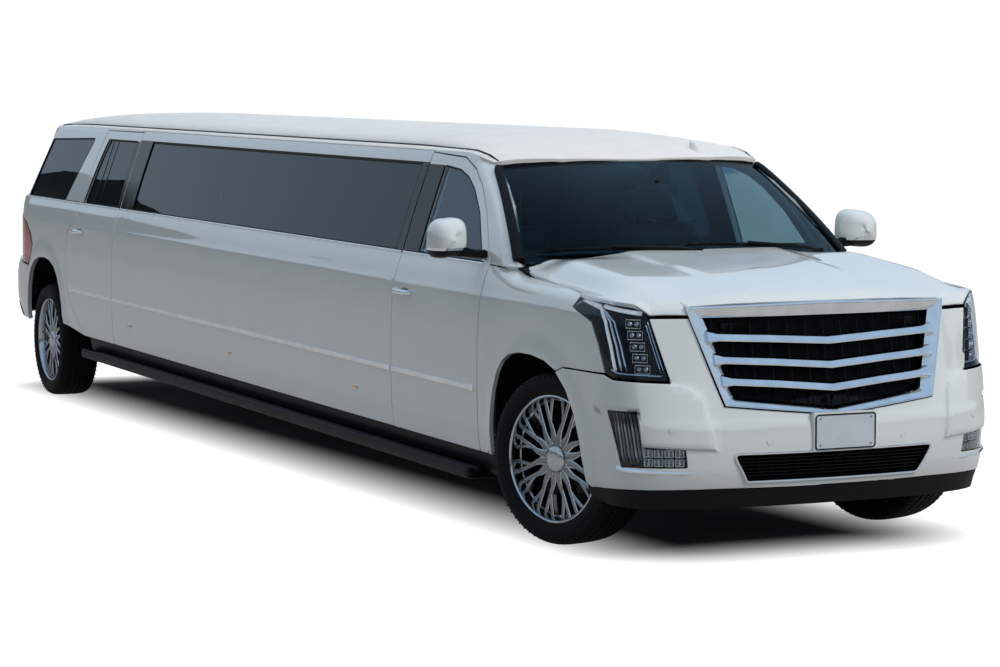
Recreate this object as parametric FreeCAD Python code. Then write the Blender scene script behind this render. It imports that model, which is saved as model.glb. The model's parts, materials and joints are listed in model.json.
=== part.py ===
import FreeCAD, Part
import math
import os
from FreeCAD import Vector

# Stretch limousine on a full-size SUV, millimetres, +Z up, nose toward -Y, left side toward +X.
# Body pieces are drawn in a level frame: y = 0 at the front axle, z = 0 at the ground under it.
# The body stands nose-down, so they are turned about the front axle afterwards.

os.makedirs("parts", exist_ok=True)

# overall sizes
standardWheelbase = 3302.0
stretchLength = 5080.0
bodyWidth = 2044.0
roofTopZ = 1890.0
bodyRakeDeg = 1.07
rakePivotZ = 400.0

# wheels
trackWidth = 1745.0
tyreRadius = 404.0
tyreWidth = 285.0
tyreCrownWidth = 232.0
archClearance = 66.0
linerGap = 8.0
steerSweepGap = 74.0
linerInboard = 208.0
beadRadius = 279.4
flangeRadius = 292.0
rimWidth = 240.0
flangeThickness = 9.0
rimBarrelInner = 262.0
hubRadius = 82.0
spokePairs = 8
discRadius = 172.0
discThickness = 32.0
hubFaceSetback = 48.0
hubFaceDepth = 72.0
kingpinInset = 105.0
steerRest = 18.0  # degrees that the parked front wheels are turned to the left

# shell
doorGap = 7.0
seatGap = 0.3
hingeWidth = 36.0
hingeHeight = 80.0
doorThickness = 105.0
frameThickness = 46.0
glassThickness = 5.0
glassLap = 12.0
screenThickness = 8.0
fenderThickness = 55.0
hoodThickness = 34.0
roofThickness = 42.0
beltZ = 1258.0
sillZ = 335.0
doorLowZ = 352.0
doorHighZ = 1772.0
windowLowZ = 1270.0
windowHighZ = 1712.0
frameTopZ = 1783.0
frontDoorFront = 702.0
frontDoorRear = 1793.0
longWindowFront = 1885.0
longWindowRearSetback = 270.0

# structure and cabin
floorTopZ = 600.0
floorThickness = 70.0
railHeight = 150.0
railWidth = 80.0
railOffset = 430.0
railTopZ = 525.0
boardLowZ = 207.0
boardThickness = 43.0
plateWidth = 305.0
plateHeight = 152.0
plateHoleX = 177.8
plateHoleZ = 120.65
plateHoleRadius = 3.0
steeringWheelRadius = 190.0
steeringRimRadius = 16.0
benchTopZ = 950.0
seatCushionTopZ = 890.0

wheelbase = standardWheelbase + stretchLength
half = bodyWidth / 2.0
# everything behind the front doors keeps its place from the rear axle
aft = wheelbase - 8382.0
frontAxleX = trackWidth / 2.0
linerInnerX = frontAxleX - tyreWidth / 2.0 - linerInboard

# half section of the lower body: inset from the body side, height
sideInsets = ((54, sillZ), (18, doorLowZ), (10, 420), (3, 560), (0, 700), (1, 880), (10, 1020),
              (26, 1140), (47, 1215), (67, beltZ))
sideSection = [(half - inset, z) for inset, z in sideInsets]
# half section of the cabin above the belt, out to the middle of the roof
cabinInsets = ((67, beltZ), (142, 1492), (220, windowHighZ + 1), (248, frameTopZ), (316, 1828),
               (462, 1862), (722, 1884))
cabinSection = [(half - inset, z) for inset, z in cabinInsets] + [(0, roofTopZ)]
# half outline of the nose from above: inset from the body side, distance behind the front axle
noseInsets = ((692, -985), (462, -950), (302, -910), (182, -860), (102, -790), (52, -700),
              (24, -580), (10, -420), (2, -200), (0, 60))
frontPlan = [(0, -1000)] + [(half - inset, y) for inset, y in noseInsets]
# half outline of the tail from above
tailInsets = ((0, 8700), (8, 8930), (30, 9075), (60, 9190), (105, 9305), (170, 9430), (262, 9545),
              (422, 9630), (622, 9678))
rearPlan = [(half - inset, y + aft) for inset, y in tailInsets] + [(0, 9700 + aft)]
# line of the bonnet from the nose to the screen
topLine = ((-945, 1172), (-900, 1192), (-700, 1228), (-300, 1278), (120, 1318), (250, 1335))
reachIn, reachOut = half - 522.0, half + 78.0


def aftward(points):
    # side outlines (y, z) that keep their place from the rear axle
    return [(y + aft, z) for y, z in points]


def grow(points, amount):
    # moves every side of a plain outline outward by the amount, with sharp corners
    n = len(points)
    area = sum(points[i][0] * points[(i + 1) % n][1] - points[(i + 1) % n][0] * points[i][1]
               for i in range(n))
    sign = 1.0 if area > 0 else -1.0
    out = []
    for i in range(n):
        ax, ay = points[i - 1]
        bx, by = points[i]
        cx, cy = points[(i + 1) % n]
        ux, uy = bx - ax, by - ay
        vx, vy = cx - bx, cy - by
        lu, lv = math.hypot(ux, uy), math.hypot(vx, vy)
        n1 = (sign * uy / lu, -sign * ux / lu)
        n2 = (sign * vy / lv, -sign * vx / lv)
        k = 1.0 + n1[0] * n2[0] + n1[1] * n2[1]
        out.append((bx + amount * (n1[0] + n2[0]) / k, by + amount * (n1[1] + n2[1]) / k))
    return out


def prism(points, axis, low, high):
    # points are (y, z) along x, (x, z) along y and (x, y) along z
    if axis == "x":
        wire = [Vector(low, a, b) for a, b in points]
        step = Vector(high - low, 0, 0)
    elif axis == "y":
        wire = [Vector(a, low, b) for a, b in points]
        step = Vector(0, high - low, 0)
    else:
        wire = [Vector(a, b, low) for a, b in points]
        step = Vector(0, 0, high - low)
    face = Part.Face(Part.makePolygon(wire + [wire[0]]))
    return face.extrude(step)


def sidePrism(points):
    # a side outline run through the left wall of the body
    return prism(points, "x", reachIn, reachOut)


def acrossPrism(points, y0, y1):
    # a half outline (x, z) with its first and last point on the centre plane, made whole
    return prism(list(points) + [(-x, z) for x, z in reversed(points[1:-1])], "y", y0, y1)


def box(x0, x1, y0, y1, z0, z1):
    return Part.makeBox(x1 - x0, y1 - y0, z1 - z0, Vector(x0, y0, z0))


def rod(start, end, radius):
    a, b = Vector(*start), Vector(*end)
    return Part.makeCylinder(radius, (b - a).Length, a, b - a)


def mirrored(shape):
    return shape.mirror(Vector(0, 0, 0), Vector(1, 0, 0))


def solidsOf(shape):
    return [s for s in shape.Solids if s.Volume > 500.0]


def largest(shape):
    return max(shape.Solids, key=lambda s: s.Volume)


def both(shapes):
    out = [s for shape in shapes for s in solidsOf(shape)]
    return out + [mirrored(s) for s in out]


def joined(shapes):
    first = shapes[0]
    return first.fuse(list(shapes[1:])).removeSplitter() if len(shapes) > 1 else first


def trimmed(shape, tools):
    # cut back face to face from each neighbour that it reaches
    for tool in tools:
        if shape.BoundBox.intersect(tool.BoundBox):
            shape = shape.cut(tool)
    return shape


def raked(shape):
    turned = shape.copy()
    turned.rotate(Vector(0, 0, rakePivotZ), Vector(1, 0, 0), bodyRakeDeg)
    return turned


nodes = {}


def keep(name, shapes, level=True):
    solids = [s for shape in shapes for s in solidsOf(shape)]
    nodes[name] = [raked(s) if level else s for s in solids]


def sideWall(thickness, y0, y1):
    # wall of the lower body on the left side, as thick as a whole door
    inner = [(min(x, half) - thickness, z) for x, z in reversed(sideSection)]
    return prism(sideSection + inner, "y", y0, y1)


def cabinWall(thickness, y0, y1):
    # leaning wall of the cabin between the belt and the roof edge on the left side
    outer = [p for p in cabinSection if p[1] <= frameTopZ]
    inner = [(x - thickness, z) for x, z in reversed(outer)]
    return prism(outer + inner, "y", y0, y1)


# outlines in side view (y, z)
frontDoor = [(frontDoorFront, doorLowZ), (frontDoorFront, beltZ + 4), (frontDoorFront + 73, 1350),
             (frontDoorFront + 198, 1492), (frontDoorFront + 348, 1620), (frontDoorFront + 503, 1705),
             (frontDoorFront + 663, doorHighZ - 15), (frontDoorRear, doorHighZ), (frontDoorRear, doorLowZ)]
frontGlass = [(frontDoorFront + 88, windowLowZ), (frontDoorFront + 283, 1498), (frontDoorFront + 428, 1606),
              (frontDoorFront + 548, 1664), (frontDoorFront + 678, windowHighZ - 15),
              (frontDoorRear - 203, windowHighZ), (frontDoorRear - 203, windowLowZ)]
rearDoor = aftward([(6750, doorLowZ), (6750, doorHighZ), (7560, doorHighZ), (7625, 1600),
                    (7700, windowLowZ - 8), (7672, 1165), (7800, 1075), (7838, 990), (7838, 740),
                    (7790, 625), (7700, 530), (7600, 468), (7455, doorLowZ)])
rearGlass = aftward([(6815, windowLowZ), (6815, windowHighZ), (7475, windowHighZ), (7535, 1560),
                     (7612, windowLowZ)])
rearDoorFront = rearDoor[0][0]
longWindowRear = rearDoorFront - longWindowRearSetback
longWindow = [(longWindowFront, windowLowZ), (longWindowFront, windowHighZ),
              (longWindowRear, windowHighZ), (longWindowRear, windowLowZ)]
quarterGlass = aftward([(8075, windowLowZ - 4), (7800, windowHighZ), (8836, 1686), (9006, windowLowZ - 4)])
# wheel openings for a 404 tyre: distance from the axle, height
frontArchTable = ((-470, 250), (-452, 400), (-425, 530), (-375, 650), (-300, 752), (-200, 826), (-80, 868),
                  (60, 882), (200, 880), (320, 862), (410, 822), (470, 760), (510, 670), (530, 560),
                  (540, 400), (545, 250))
rearArchTable = ((-470, 240), (-462, 400), (-445, 530), (-405, 640), (-345, 730), (-260, 795),
                 (-150, 832), (-20, 845), (110, 840), (230, 815), (325, 765), (390, 695),
                 (432, 600), (455, 480), (468, 360), (472, 240))
archGrowth = tyreRadius + archClearance - 470.0
frontArch = [(y, z + archGrowth) for y, z in grow(frontArchTable, archGrowth)]
rearArch = [(wheelbase + y, z + archGrowth) for y, z in grow(rearArchTable, archGrowth)]
tailEnd = 9777.0 + aft
sides = (("left", False), ("right", True))
# door edge: depth behind the skin, distance that it is set in there
doorEdgeSteps = ((6, 3), (14, 7), (26, 14))


# doors, their glass and the mirrors
def glassPane(glass):
    # pane in the middle of the frame, let into it all round
    mid = frameThickness / 2.0
    outer = [(x - mid + glassThickness / 2.0, z) for x, z in cabinSection if z <= frameTopZ]
    inner = [(x - glassThickness, z) for x, z in reversed(outer)]
    ys = [p[0] for p in glass]
    sheet = prism(outer + inner, "y", min(ys) - 60, max(ys) + 60)
    return sheet.common(sidePrism(grow(glass, glassLap)))


def doorShell(outline, glass):
    ys = [p[0] for p in outline]
    y0, y1 = min(ys) - 10, max(ys) + 10
    shell = joined([sideWall(doorThickness, y0, y1), cabinWall(frameThickness, y0, y1)])
    shell = shell.common(sidePrism(outline))
    # the edge steps in behind the skin, so that it swings clear of the body
    for depth, step in doorEdgeSteps:
        behind = [(x - depth, z) for x, z in sideSection + cabinSection[1:] if z <= frameTopZ]
        edge = prism(behind + [(reachIn, frameTopZ), (reachIn, sillZ)], "y", y0, y1)
        shell = shell.cut(edge.cut(sidePrism(grow(outline, -step))))
    return shell.cut(sidePrism(glass))


def doorHinges(edgeY):
    # two knuckles on the front edge that bear on the pillar in front of them
    return [box(half - 27 - hingeWidth, half - 27, edgeY - doorGap + seatGap, edgeY + 20, z,
                z + hingeHeight)
            for z in (480, 940)]


doorShapes = {}
for name, outline, glass in (("front_door", frontDoor, frontGlass), ("rear_door", rearDoor, rearGlass)):
    pane = glassPane(glass)
    door = doorShell(outline, glass).cut(pane).fuse(doorHinges(outline[0][0]))
    doorShapes[name] = (door, pane)
    for side, flip in sides:
        keep(name + "_" + side, [mirrored(door) if flip else door])
        keep(name + "_glass_" + side, [mirrored(pane) if flip else pane])
mirrorY = frontDoorFront - 62
mirrorCap = prism([(half + 18, mirrorY), (half + 208, mirrorY + 25), (half + 240, mirrorY + 60),
                   (half + 240, mirrorY + 130), (half + 18, mirrorY + 172)], "z", 1290, 1478)
mirrorCap = mirrorCap.common(prism([(half - 12, 1250), (half + 268, 1290), (half + 268, 1440),
                                    (half + 218, 1490), (half + 38, 1490)], "y", mirrorY - 40,
                                    mirrorY + 210))
mirrorArm = box(half - 97, half + 78, mirrorY + 112, mirrorY + 160, 1264, 1292)
mirrorWhole = trimmed(joined([mirrorCap, mirrorArm]), doorShapes["front_door"])
for side, flip in sides:
    keep("door_mirror_" + side, [mirrored(largest(mirrorWhole)) if flip else largest(mirrorWhole)])

# stretch wall between the doors
stretchWall = sideWall(doorThickness, frontDoorRear + doorGap, rearDoorFront - doorGap)
keep("stretch_panels", both([stretchWall]))

# upper side frame from the screen pillar to the tail, with the doors and windows cut out of it
screenEdge = ((505, 1302), (640, 1432), (780, 1546), (930, 1642), (1095, 1726), (1190, 1800))
pillarCut = [(300, 1240)] + list(screenEdge) + [(1190, 2000), (300, 2000)]
tailLean = aftward([(9050, beltZ), (8835, frameTopZ)])
tailCut = [(tailLean[0][0] + 8, beltZ - 20), tailLean[0], tailLean[1],
           (tailLean[1][0] - 10, frameTopZ + 25),
           (9700 + aft, frameTopZ + 25), (9700 + aft, beltZ - 20)]
upper = cabinWall(frameThickness, 470, 9420 + aft)
for cutter in (pillarCut, tailCut, grow(frontDoor, doorGap), grow(rearDoor, doorGap), longWindow,
               quarterGlass):
    upper = upper.cut(sidePrism(cutter))
longPane = glassPane(longWindow)
quarterPane = glassPane(quarterGlass).cut(sidePrism(tailCut))
upper = largest(upper.cut(longPane).cut(quarterPane))
keep("window_frames", both([upper]))
keep("side_windows", both([longPane, quarterPane]))

# roof
roofStart = 985.0
roofEnd = 9250.0 + aft
roofSide = [(roofStart, 1760), (1095, 1790), (1200, 1814), (1400, 1845), (1700, 1872), (2100, roofTopZ)]
roofSide += aftward([(7900, roofTopZ), (8400, 1878), (8800, 1852), (9100, 1822), (9250, 1800)])
roofHalf = [p for p in cabinSection if p[1] >= frameTopZ]
roofEdgeX = roofHalf[0][0]
# tail of the cabin from above at the belt and at the roof edge
postLow = [(half - inset, y + aft) for inset, y in ((67, 9050), (107, 9140), (152, 9250), (212, 9380),
                                                    (277, 9485), (316, 9530))]
postHigh = [(half - inset, y + aft) for inset, y in ((248, 8835), (285, 8935), (330, 9045), (382, 9145),
                                                     (432, 9215), (462, 9240))]


def roofBody(drop):
    # filled crown of the roof with its top lowered
    arch = [(x, z - drop) for x, z in roofHalf]
    cross = [(-x, z) for x, z in arch] + [(x, z) for x, z in reversed(arch[:-1])]
    cross = cross + [(roofEdgeX - drop * 1.1, 1500), (-roofEdgeX + drop * 1.1, 1500)]
    side = [(y, z - drop) for y, z in roofSide]
    side = [(side[0][0] - 200, side[0][1])] + side + [(side[-1][0] + 200, side[-1][1])]
    side = side + [(side[-1][0], 1400), (side[0][0], 1400)]
    return prism(cross, "y", 800, 9600 + aft).common(prism(side, "x", -half, half))


roofPlan = [(0, roofStart), (420, roofStart + 35), (roofEdgeX - 48, 1092), (roofEdgeX, 1135)] + postHigh
roofPlan += [(postHigh[-1][0], roofEnd), (0, roofEnd)]
roofPlan = roofPlan + [(-x, y) for x, y in reversed(roofPlan[1:-1])]
roofSolid = roofBody(0).cut(roofBody(roofThickness)).common(prism(roofPlan, "z", 1700, roofTopZ + 10))
roofSolid = trimmed(roofSolid, [upper, mirrored(upper)])
for sx in (-1, 1):
    x0, x1 = sorted((sx * (roofEdgeX - 59), sx * half))
    roofSolid = roofSolid.cut(box(x0, x1, 900, 9400 + aft, 1500, frameTopZ))
roofSolid = largest(roofSolid)
keep("roof_panel", [roofSolid])

# screen, a folded sheet that follows the pillars
screenHigh = ((0, 985, 1752), (420, 1020, 1744), (half - 282, 1094, 1722))
screenLow = ((0, 262, 1338), (500, 330, 1328), (half - 117, 508, 1300))
screenPieces = []
for a, b, c, d in ((screenHigh[0], screenHigh[1], screenLow[1], screenLow[0]),
                   (screenHigh[1], screenHigh[2], screenLow[2], screenLow[1])):
    corners = [Vector(*p) for p in (a, b, c, d)]
    for first, second, third in ((0, 1, 2), (0, 2, 3)):
        ring = [corners[first], corners[second], corners[third], corners[first]]
        face = Part.Face(Part.makePolygon(ring))
        screenPieces.append(face.extrude(Vector(0, screenThickness * 0.55, -screenThickness * 0.84)))
screen = joined(screenPieces)
screen = trimmed(joined([screen, mirrored(screen)]), [upper, mirrored(upper), roofSolid])
screen = largest(screen)
keep("windshield", [screen])

# front wings
noseOuter = prism(frontPlan + [(half, 1200), (0, 1200)], "z", 0, 1500)
noseInner = prism([(max(0, x - fenderThickness), y + (fenderThickness if y < 0 else 0))
                   for x, y in frontPlan[1:]]
                  + [(half - fenderThickness, 1300), (0, 1300), (0, -1000 + fenderThickness)], "z", -50,
                  1500)
bodyFull = sideSection + [(0, beltZ), (0, sillZ)]
bodyInner = [(x - fenderThickness, z) for x, z in sideSection]
bodyInner = bodyInner + [(half - 67 - fenderThickness, 1300), (0, 1300), (0, 200),
                         (half - 54 - fenderThickness, 200)]
wingRear = frontDoorFront - doorGap
wingSide = [(wingRear, doorLowZ), (wingRear, beltZ), (480, beltZ), (350, 1236), (100, 1222), (-260, 1200),
            (-470, 1172), (-600, 840), (-230, 815), (0, 780), (0, doorLowZ)]
wing = prism(bodyFull, "y", -1050, 1200).common(noseOuter).cut(
    noseInner.common(prism(bodyInner, "y", -1100, 1300)))
wing = largest(wing.common(prism(wingSide, "x", half - 172, reachOut)).cut(sidePrism(frontArch)))
keep("front_wings", both([wing]))

# bonnet
hoodHalf = [(0, -905), (400, -880), (half - 362, -800), (half - 222, -742), (half - 184, -640),
            (half - 142, -300), (half - 112, 100), (half - 117, 352), (500, 292), (0, 235)]
hoodPlan = hoodHalf + [(-x, y) for x, y in reversed(hoodHalf[1:-1])]
crownHalf = ((half - 62, 1196), (half - 122, 1214), (half - 282, 1252), (500, 1290), (300, 1322))


def bonnetBody(drop, low):
    side = [(y, z - drop) for y, z in topLine] + [(400, 1345 - drop), (400, low), (topLine[0][0], low)]
    cross = [(x, z - drop) for x, z in crownHalf]
    cross = [(-x, z) for x, z in cross] + [(0, 1340 - drop)] + cross[::-1]
    cross = cross + [(crownHalf[0][0], low), (-crownHalf[0][0], low)]
    return prism(side, "x", -half, half).common(prism(cross, "y", -1000, 400))


hood = bonnetBody(0, 1060).cut(bonnetBody(hoodThickness, 1000)).common(prism(hoodPlan, "z", 1060, 1400))
# hinge arms under the rear edge that bear on the cowl
hoodArmX, hoodArmWidth = 590.0, 40.0
cowlFrontAt = 345 + (hoodArmX - 500) * 175.0 / (half - 642)
hoodArm = box(hoodArmX, hoodArmX + hoodArmWidth, 215, cowlFrontAt - seatGap, 1190, 1222)
hoodArm = joined([hoodArm, box(hoodArmX, hoodArmX + hoodArmWidth, 215, 285, 1190, 1250)])
hood = largest(joined([hood, hoodArm, mirrored(hoodArm)]))
keep("hood", [hood])

# bumper cover with the openings for the grille and the lamps; half outlines (x, z)
noseLow, noseHigh = 365.0, 1165.0
grilleHole = [(0, 690), (540, 752), (654, 1147), (0, 1147)]
lowerHole = [(0, 420), (460, 420), (505, 515), (0, 515)]
lampHole = [(half - 254, 838), (half - 202, 1150), (half + 23, 1150), (half + 23, 868)]
fogHole = [(half - 317, 455), (half - 317, 545), (half - 122, 560), (half - 117, 705), (half + 18, 705),
           (half + 18, 455)]
openTop = [(0, 1147), (654, 1147), (660, 1200), (0, 1200)]
lampTop = [(half - 202, 1150), (half - 202, 1200), (half + 78, 1200), (half + 78, 1150)]
nose = noseOuter.cut(noseInner).common(box(0, reachOut, -1050, -200, noseLow, noseHigh))
nose = nose.common(prism([(-1100, noseLow), (-1100, noseHigh), (-905, noseHigh), (-700, 1150),
                          (-480, noseHigh),
                          (-606, 835), (-236, 810), (-236, noseLow)], "x", 0, reachOut))
nose = nose.cut(sidePrism(frontArch))
for hole in (grilleHole, lampHole, lowerHole, fogHole, openTop, lampTop):
    nose = nose.cut(prism(hole, "y", -1100, -200))
bumper = largest(joined([nose, mirrored(nose)]))
keep("front_bumper", [bumper])


def noseBlock(outline, setback, depth, y1):
    # a block that fills an opening of the nose, set back from its face
    shell = prism([(x, y + setback) for x, y in frontPlan] + [(half, 1200), (0, 1200)], "z", 300, 1200)
    inner = prism([(x, y + setback + depth) for x, y in frontPlan] + [(half, 1300), (0, 1300)], "z", 250,
                  1300)
    return shell.cut(inner).common(prism(outline, "y", -1100, y1))


grilleBlock = noseBlock(grilleHole, 18, 32, -560)
lowerBlock = noseBlock(lowerHole, 14, 26, -560)
keep("grille", [joined([grilleBlock, mirrored(grilleBlock)]), joined([lowerBlock, mirrored(lowerBlock)])])
tyreRoom = sidePrism(grow(frontArch, steerSweepGap + 12))
lampBlock = trimmed(noseBlock(lampHole, 4, 116, -330), [wing, nose, tyreRoom])
fogBlock = trimmed(noseBlock(fogHole, 6, 84, -450), [wing, nose, tyreRoom])
keep("headlights", both([largest(lampBlock), largest(fogBlock)]))
valance = prism([(x * 0.97, y + 30) for x, y in frontPlan[:8]] + [(half - 77, -440), (0, -440)], "z", 270,
                noseLow)
valanceCore = prism([(0, -820), (560, -770), (half - 222, -640), (half - 162, -440), (0, -440)], "z", 200,
                    400)
valance = valance.cut(valanceCore).cut(sidePrism(frontArch))
keep("lower_valance", [joined([valance, mirrored(valance)])])

# tail: quarter panels, corner posts, lamps, liftgate and bumper
gateHalf = [(0, 840), (half - 322, 840), (half - 280, 900), (half - 274, 1180), (half - 322, 1262),
            (half - 367, 1500), (half - 410, 1720), (half - 462, 1796), (0, 1826)]
gateSide = aftward([(9257, 1796), (9400, 1784), (9448, 1730), (9600, 1262), (9668, 1230), (9690, 1000),
                    (9690, 835), (9640, 835), (9640, 1000), (9600, 1200), (9540, 1225), (9381, 1710),
                    (9257, 1746)])
gateClear = acrossPrism(grow(gateHalf + [(0, 1300)], doorGap)[:-1], 9150 + aft, 9900 + aft)
tailOuter = prism([(0, 7300 + aft), (half, 7300 + aft)] + rearPlan, "z", 0, 1900)
tailInner = prism([(0, 7200 + aft), (half - fenderThickness, 7200 + aft)]
                  + [(max(0, x - fenderThickness), y - fenderThickness) for x, y in rearPlan[:-1]]
                  + [(0, rearPlan[-1][1] - fenderThickness)], "z", -50, 2000)
tailShell = prism(bodyFull, "y", 7400 + aft, 9777 + aft).common(tailOuter).cut(
    tailInner.common(prism(bodyInner, "y", 7300 + aft, 9900 + aft)))
quarterSide = aftward([(7380, doorLowZ), (7380, beltZ), (9800, beltZ), (9800, 770), (8960, 700),
                       (8900, 620),
                       (8900, doorLowZ)])
quarter = tailShell.common(prism(quarterSide, "x", half - 322, reachOut))
quarter = quarter.cut(sidePrism(grow(rearDoor, doorGap))).cut(sidePrism(rearArch)).cut(gateClear)
quarter = quarter.cut(box(0, half - 268, 9400 + aft, 9800 + aft, 700, 1300))
lampSide = aftward([(9062, 800), (8990, 1000), (9062, 1117), (9760, 1117), (9760, 800)])
lampLow = prism(lampSide, "x", half - 322, reachOut)


def postLoft(inset):
    # lean of the cabin tail between the belt and the roof edge
    low = [(x - inset, y - inset * 0.6) for x, y in postLow]
    high = [(x - inset, y - inset * 0.6) for x, y in postHigh]
    rings = []
    for line, z, back in ((low, beltZ, 9000 + aft), (high, frameTopZ, 8780 + aft)):
        ring = [Vector(x, y, z) for x, y in line]
        ring += [Vector(line[-1][0], back, z), Vector(line[0][0], back, z)]
        rings.append(Part.makePolygon(ring + [ring[0]]))
    return Part.makeLoft(rings, True, True)


post = postLoft(0).cut(postLoft(frameThickness))
post = post.cut(sidePrism([(tailLean[0][0], beltZ - 20), tailLean[0], tailLean[1], (tailLean[1][0], 1900),
                           (8000 + aft, 1900), (8000 + aft, beltZ - 20)]))
post = post.cut(gateClear)
post = largest(trimmed(post, [upper, quarterPane, roofSolid]))
bladeOut = ((half - 212, 1117), (half - 214, 1195), (half - 262, 1275), (half - 308, 1505),
            (half - 352, 1712))
blade = prism(list(bladeOut) + [(half - 460, 1712), (half - 420, 1400), (half - 380, 1117)], "y",
              9300 + aft, 9800 + aft)
lampShell = joined([quarter.common(lampLow), quarter.common(blade), post.common(blade)])
quarter = largest(quarter.cut(lampLow).cut(blade))
post = largest(post.cut(blade))
keep("quarter_panels", both([quarter]))
keep("rear_corner_posts", both([post]))
keep("tail_lights", both([largest(lampShell)]))

gateGlassHalf = [(0, 1275), (half - 390, 1275), (half - 447, 1480), (half - 480, 1680), (0, 1690)]
gatePlan = [(0, 9720 + aft), (400, 9690 + aft), (half - 422, 9640 + aft), (half - 320, 9545 + aft),
            (half - 262, 9500 + aft), (half - 262, 9100 + aft), (0, 9100 + aft)]
gatePlan = prism(gatePlan + [(-x, y) for x, y in reversed(gatePlan[1:-1])], "z", 800, 1900)
gate = prism(gateSide, "x", -(half - 262), half - 262).common(acrossPrism(gateHalf, 9200 + aft, 9800 + aft))
gate = gate.common(gatePlan)
paneSide = aftward([(9391, 1752), (9411, 1754), (9588, 1205), (9568, 1203)])
gatePane = prism(paneSide, "x", -(half - 322), half - 322)
gatePane = gatePane.common(acrossPrism([(x + (glassLap if x else 0),
                                         z + (glassLap if z > 1400 else -glassLap))
                                        for x, z in gateGlassHalf], 9200 + aft, 9800 + aft))
gatePane = gatePane.common(gatePlan)
gate = largest(gate.cut(acrossPrism(gateGlassHalf, 9200 + aft, 9800 + aft)).cut(gatePane))
# hinge knuckles at the top edge, close behind the roof
gateHinge = box(300, 300 + hingeWidth, roofEnd + seatGap, roofEnd + 20, 1756, 1788)
gate = joined([gate, gateHinge, mirrored(gateHinge)])
keep("liftgate", [gate])
keep("liftgate_glass", [largest(gatePane)])

bumperInsets = ((0, 8800), (2, 8900), (8, 9060), (27, 9200), (57, 9325), (107, 9440), (182, 9550),
                (302, 9650), (462, 9720), (722, 9765))
bumperPlan = [(0, 8800 + aft)] + [(half - i, y + aft) for i, y in bumperInsets] + [(0, tailEnd)]
bumperCore = [(0, 8700 + aft)] + [(half - i - 58, y + aft - (100 if y < 9100 else 58))
                                  for i, y in bumperInsets]
bumperCore += [(0, tailEnd - 70)]
rearBumper = prism(bumperPlan, "z", 360, 830).cut(prism(bumperCore, "z", 300, 790))
rearBumper = rearBumper.common(prism(aftward([(9000, 360), (9900, 360), (9900, 830), (9400, 800),
                                              (9060, 760),
                                              (8905, 685), (8905, 360)]), "x", -10, reachOut))
rearBumper = trimmed(rearBumper, [quarter, lampShell, post]).cut(sidePrism(rearArch))
rearBumper = largest(joined([rearBumper, mirrored(rearBumper)]))
rearBumper = rearBumper.cut(prism(grow(gateSide, doorGap), "x", -(half - 252), half - 252))
rearBumper = largest(rearBumper)
keep("rear_bumper", [rearBumper])

# ladder frame with outriggers, jack pads and hitch receiver
railLowZ = railTopZ - railHeight
crossYs = [-820, -350, 700] + [1900 + (4800 + aft) * k / 4.0 for k in range(5)]
crossYs += [y + aft for y in (7750, 8900, 9480)]
crosses = [box(-railOffset - 10, railOffset + 10, y - 45, y + 45, railTopZ - 120, railTopZ - 30)
           for y in crossYs]
hangerYs = [900] + [2100 + (4850 + aft) * k / 4.0 for k in range(5)]
outriggers = [box(railOffset, half - 127, y - 35, y + 35, railTopZ - 100, railTopZ - 20)
              for y in [850, 2000, 3200] + [y + aft for y in (4400, 5600, 6900)]]
rail = box(railOffset - railWidth / 2, railOffset + railWidth / 2, -860, 9560 + aft, railLowZ, railTopZ)
frameHalf = joined([rail] + outriggers)
receiverY = 9640 + aft
receiver = box(-38, 38, receiverY - 240, receiverY, 385, 461).cut(
    box(-25.4, 25.4, receiverY - 230, receiverY + 60, 397.6, 448.4))
jackPads = [box(sx * railOffset - 40, sx * railOffset + 40, y - 50, y + 50, railLowZ - 40, railLowZ)
            for sx in (-1, 1) for y in (1500, 6300 + aft)]
frame = joined([frameHalf, mirrored(frameHalf)] + crosses + [receiver] + jackPads)
keep("chassis_frame", [frame])

# floor
floorHalf = half - 117
floor = box(-floorHalf, floorHalf, 560, 9300 + aft, floorTopZ - floorThickness, floorTopZ)
floor = joined([floor, box(-(half - 372), half - 372, 9300 + aft, 9560 + aft, floorTopZ - floorThickness,
                           floorTopZ)])
for arch, reach in ((rearArch, 70), (frontArch, 95)):
    y0, y1 = min(y for y, z in arch) - reach, max(y for y, z in arch) + reach
    house = box(linerInnerX + 20, reachOut, y0, y1, 0, 700)
    floor = floor.cut(house).cut(mirrored(house))
floor = trimmed(floor, [s for shape in (quarter, stretchWall, wing, lampShell)
                        for s in (shape, mirrored(shape))]
                + [rearBumper])
floor = largest(floor)
keep("floor_pan", [floor])


# wheel arch liners
def archLiner(outline, axleY, gap):
    outer = prism(grow(outline, gap + 6.0), "x", linerInnerX, half - 64)
    inner = prism(grow(outline, gap), "x", linerInnerX + 12, reachOut)
    return outer.cut(inner).common(box(0, reachOut, axleY - 900, axleY + 900, 420, 1300))


linerFront = trimmed(archLiner(frontArch, 0, steerSweepGap),
                     [wing, nose, frame, floor, lampBlock, fogBlock])
linerFront = linerFront.cut(sidePrism(grow(frontDoor, doorGap)))
linerRear = trimmed(archLiner(rearArch, wheelbase, linerGap),
                    [quarter, frame, floor, rearBumper, lampShell])
linerRear = linerRear.cut(sidePrism(grow(rearDoor, doorGap)))
keep("arch_liners", both([largest(linerFront), largest(linerRear)]))

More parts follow.
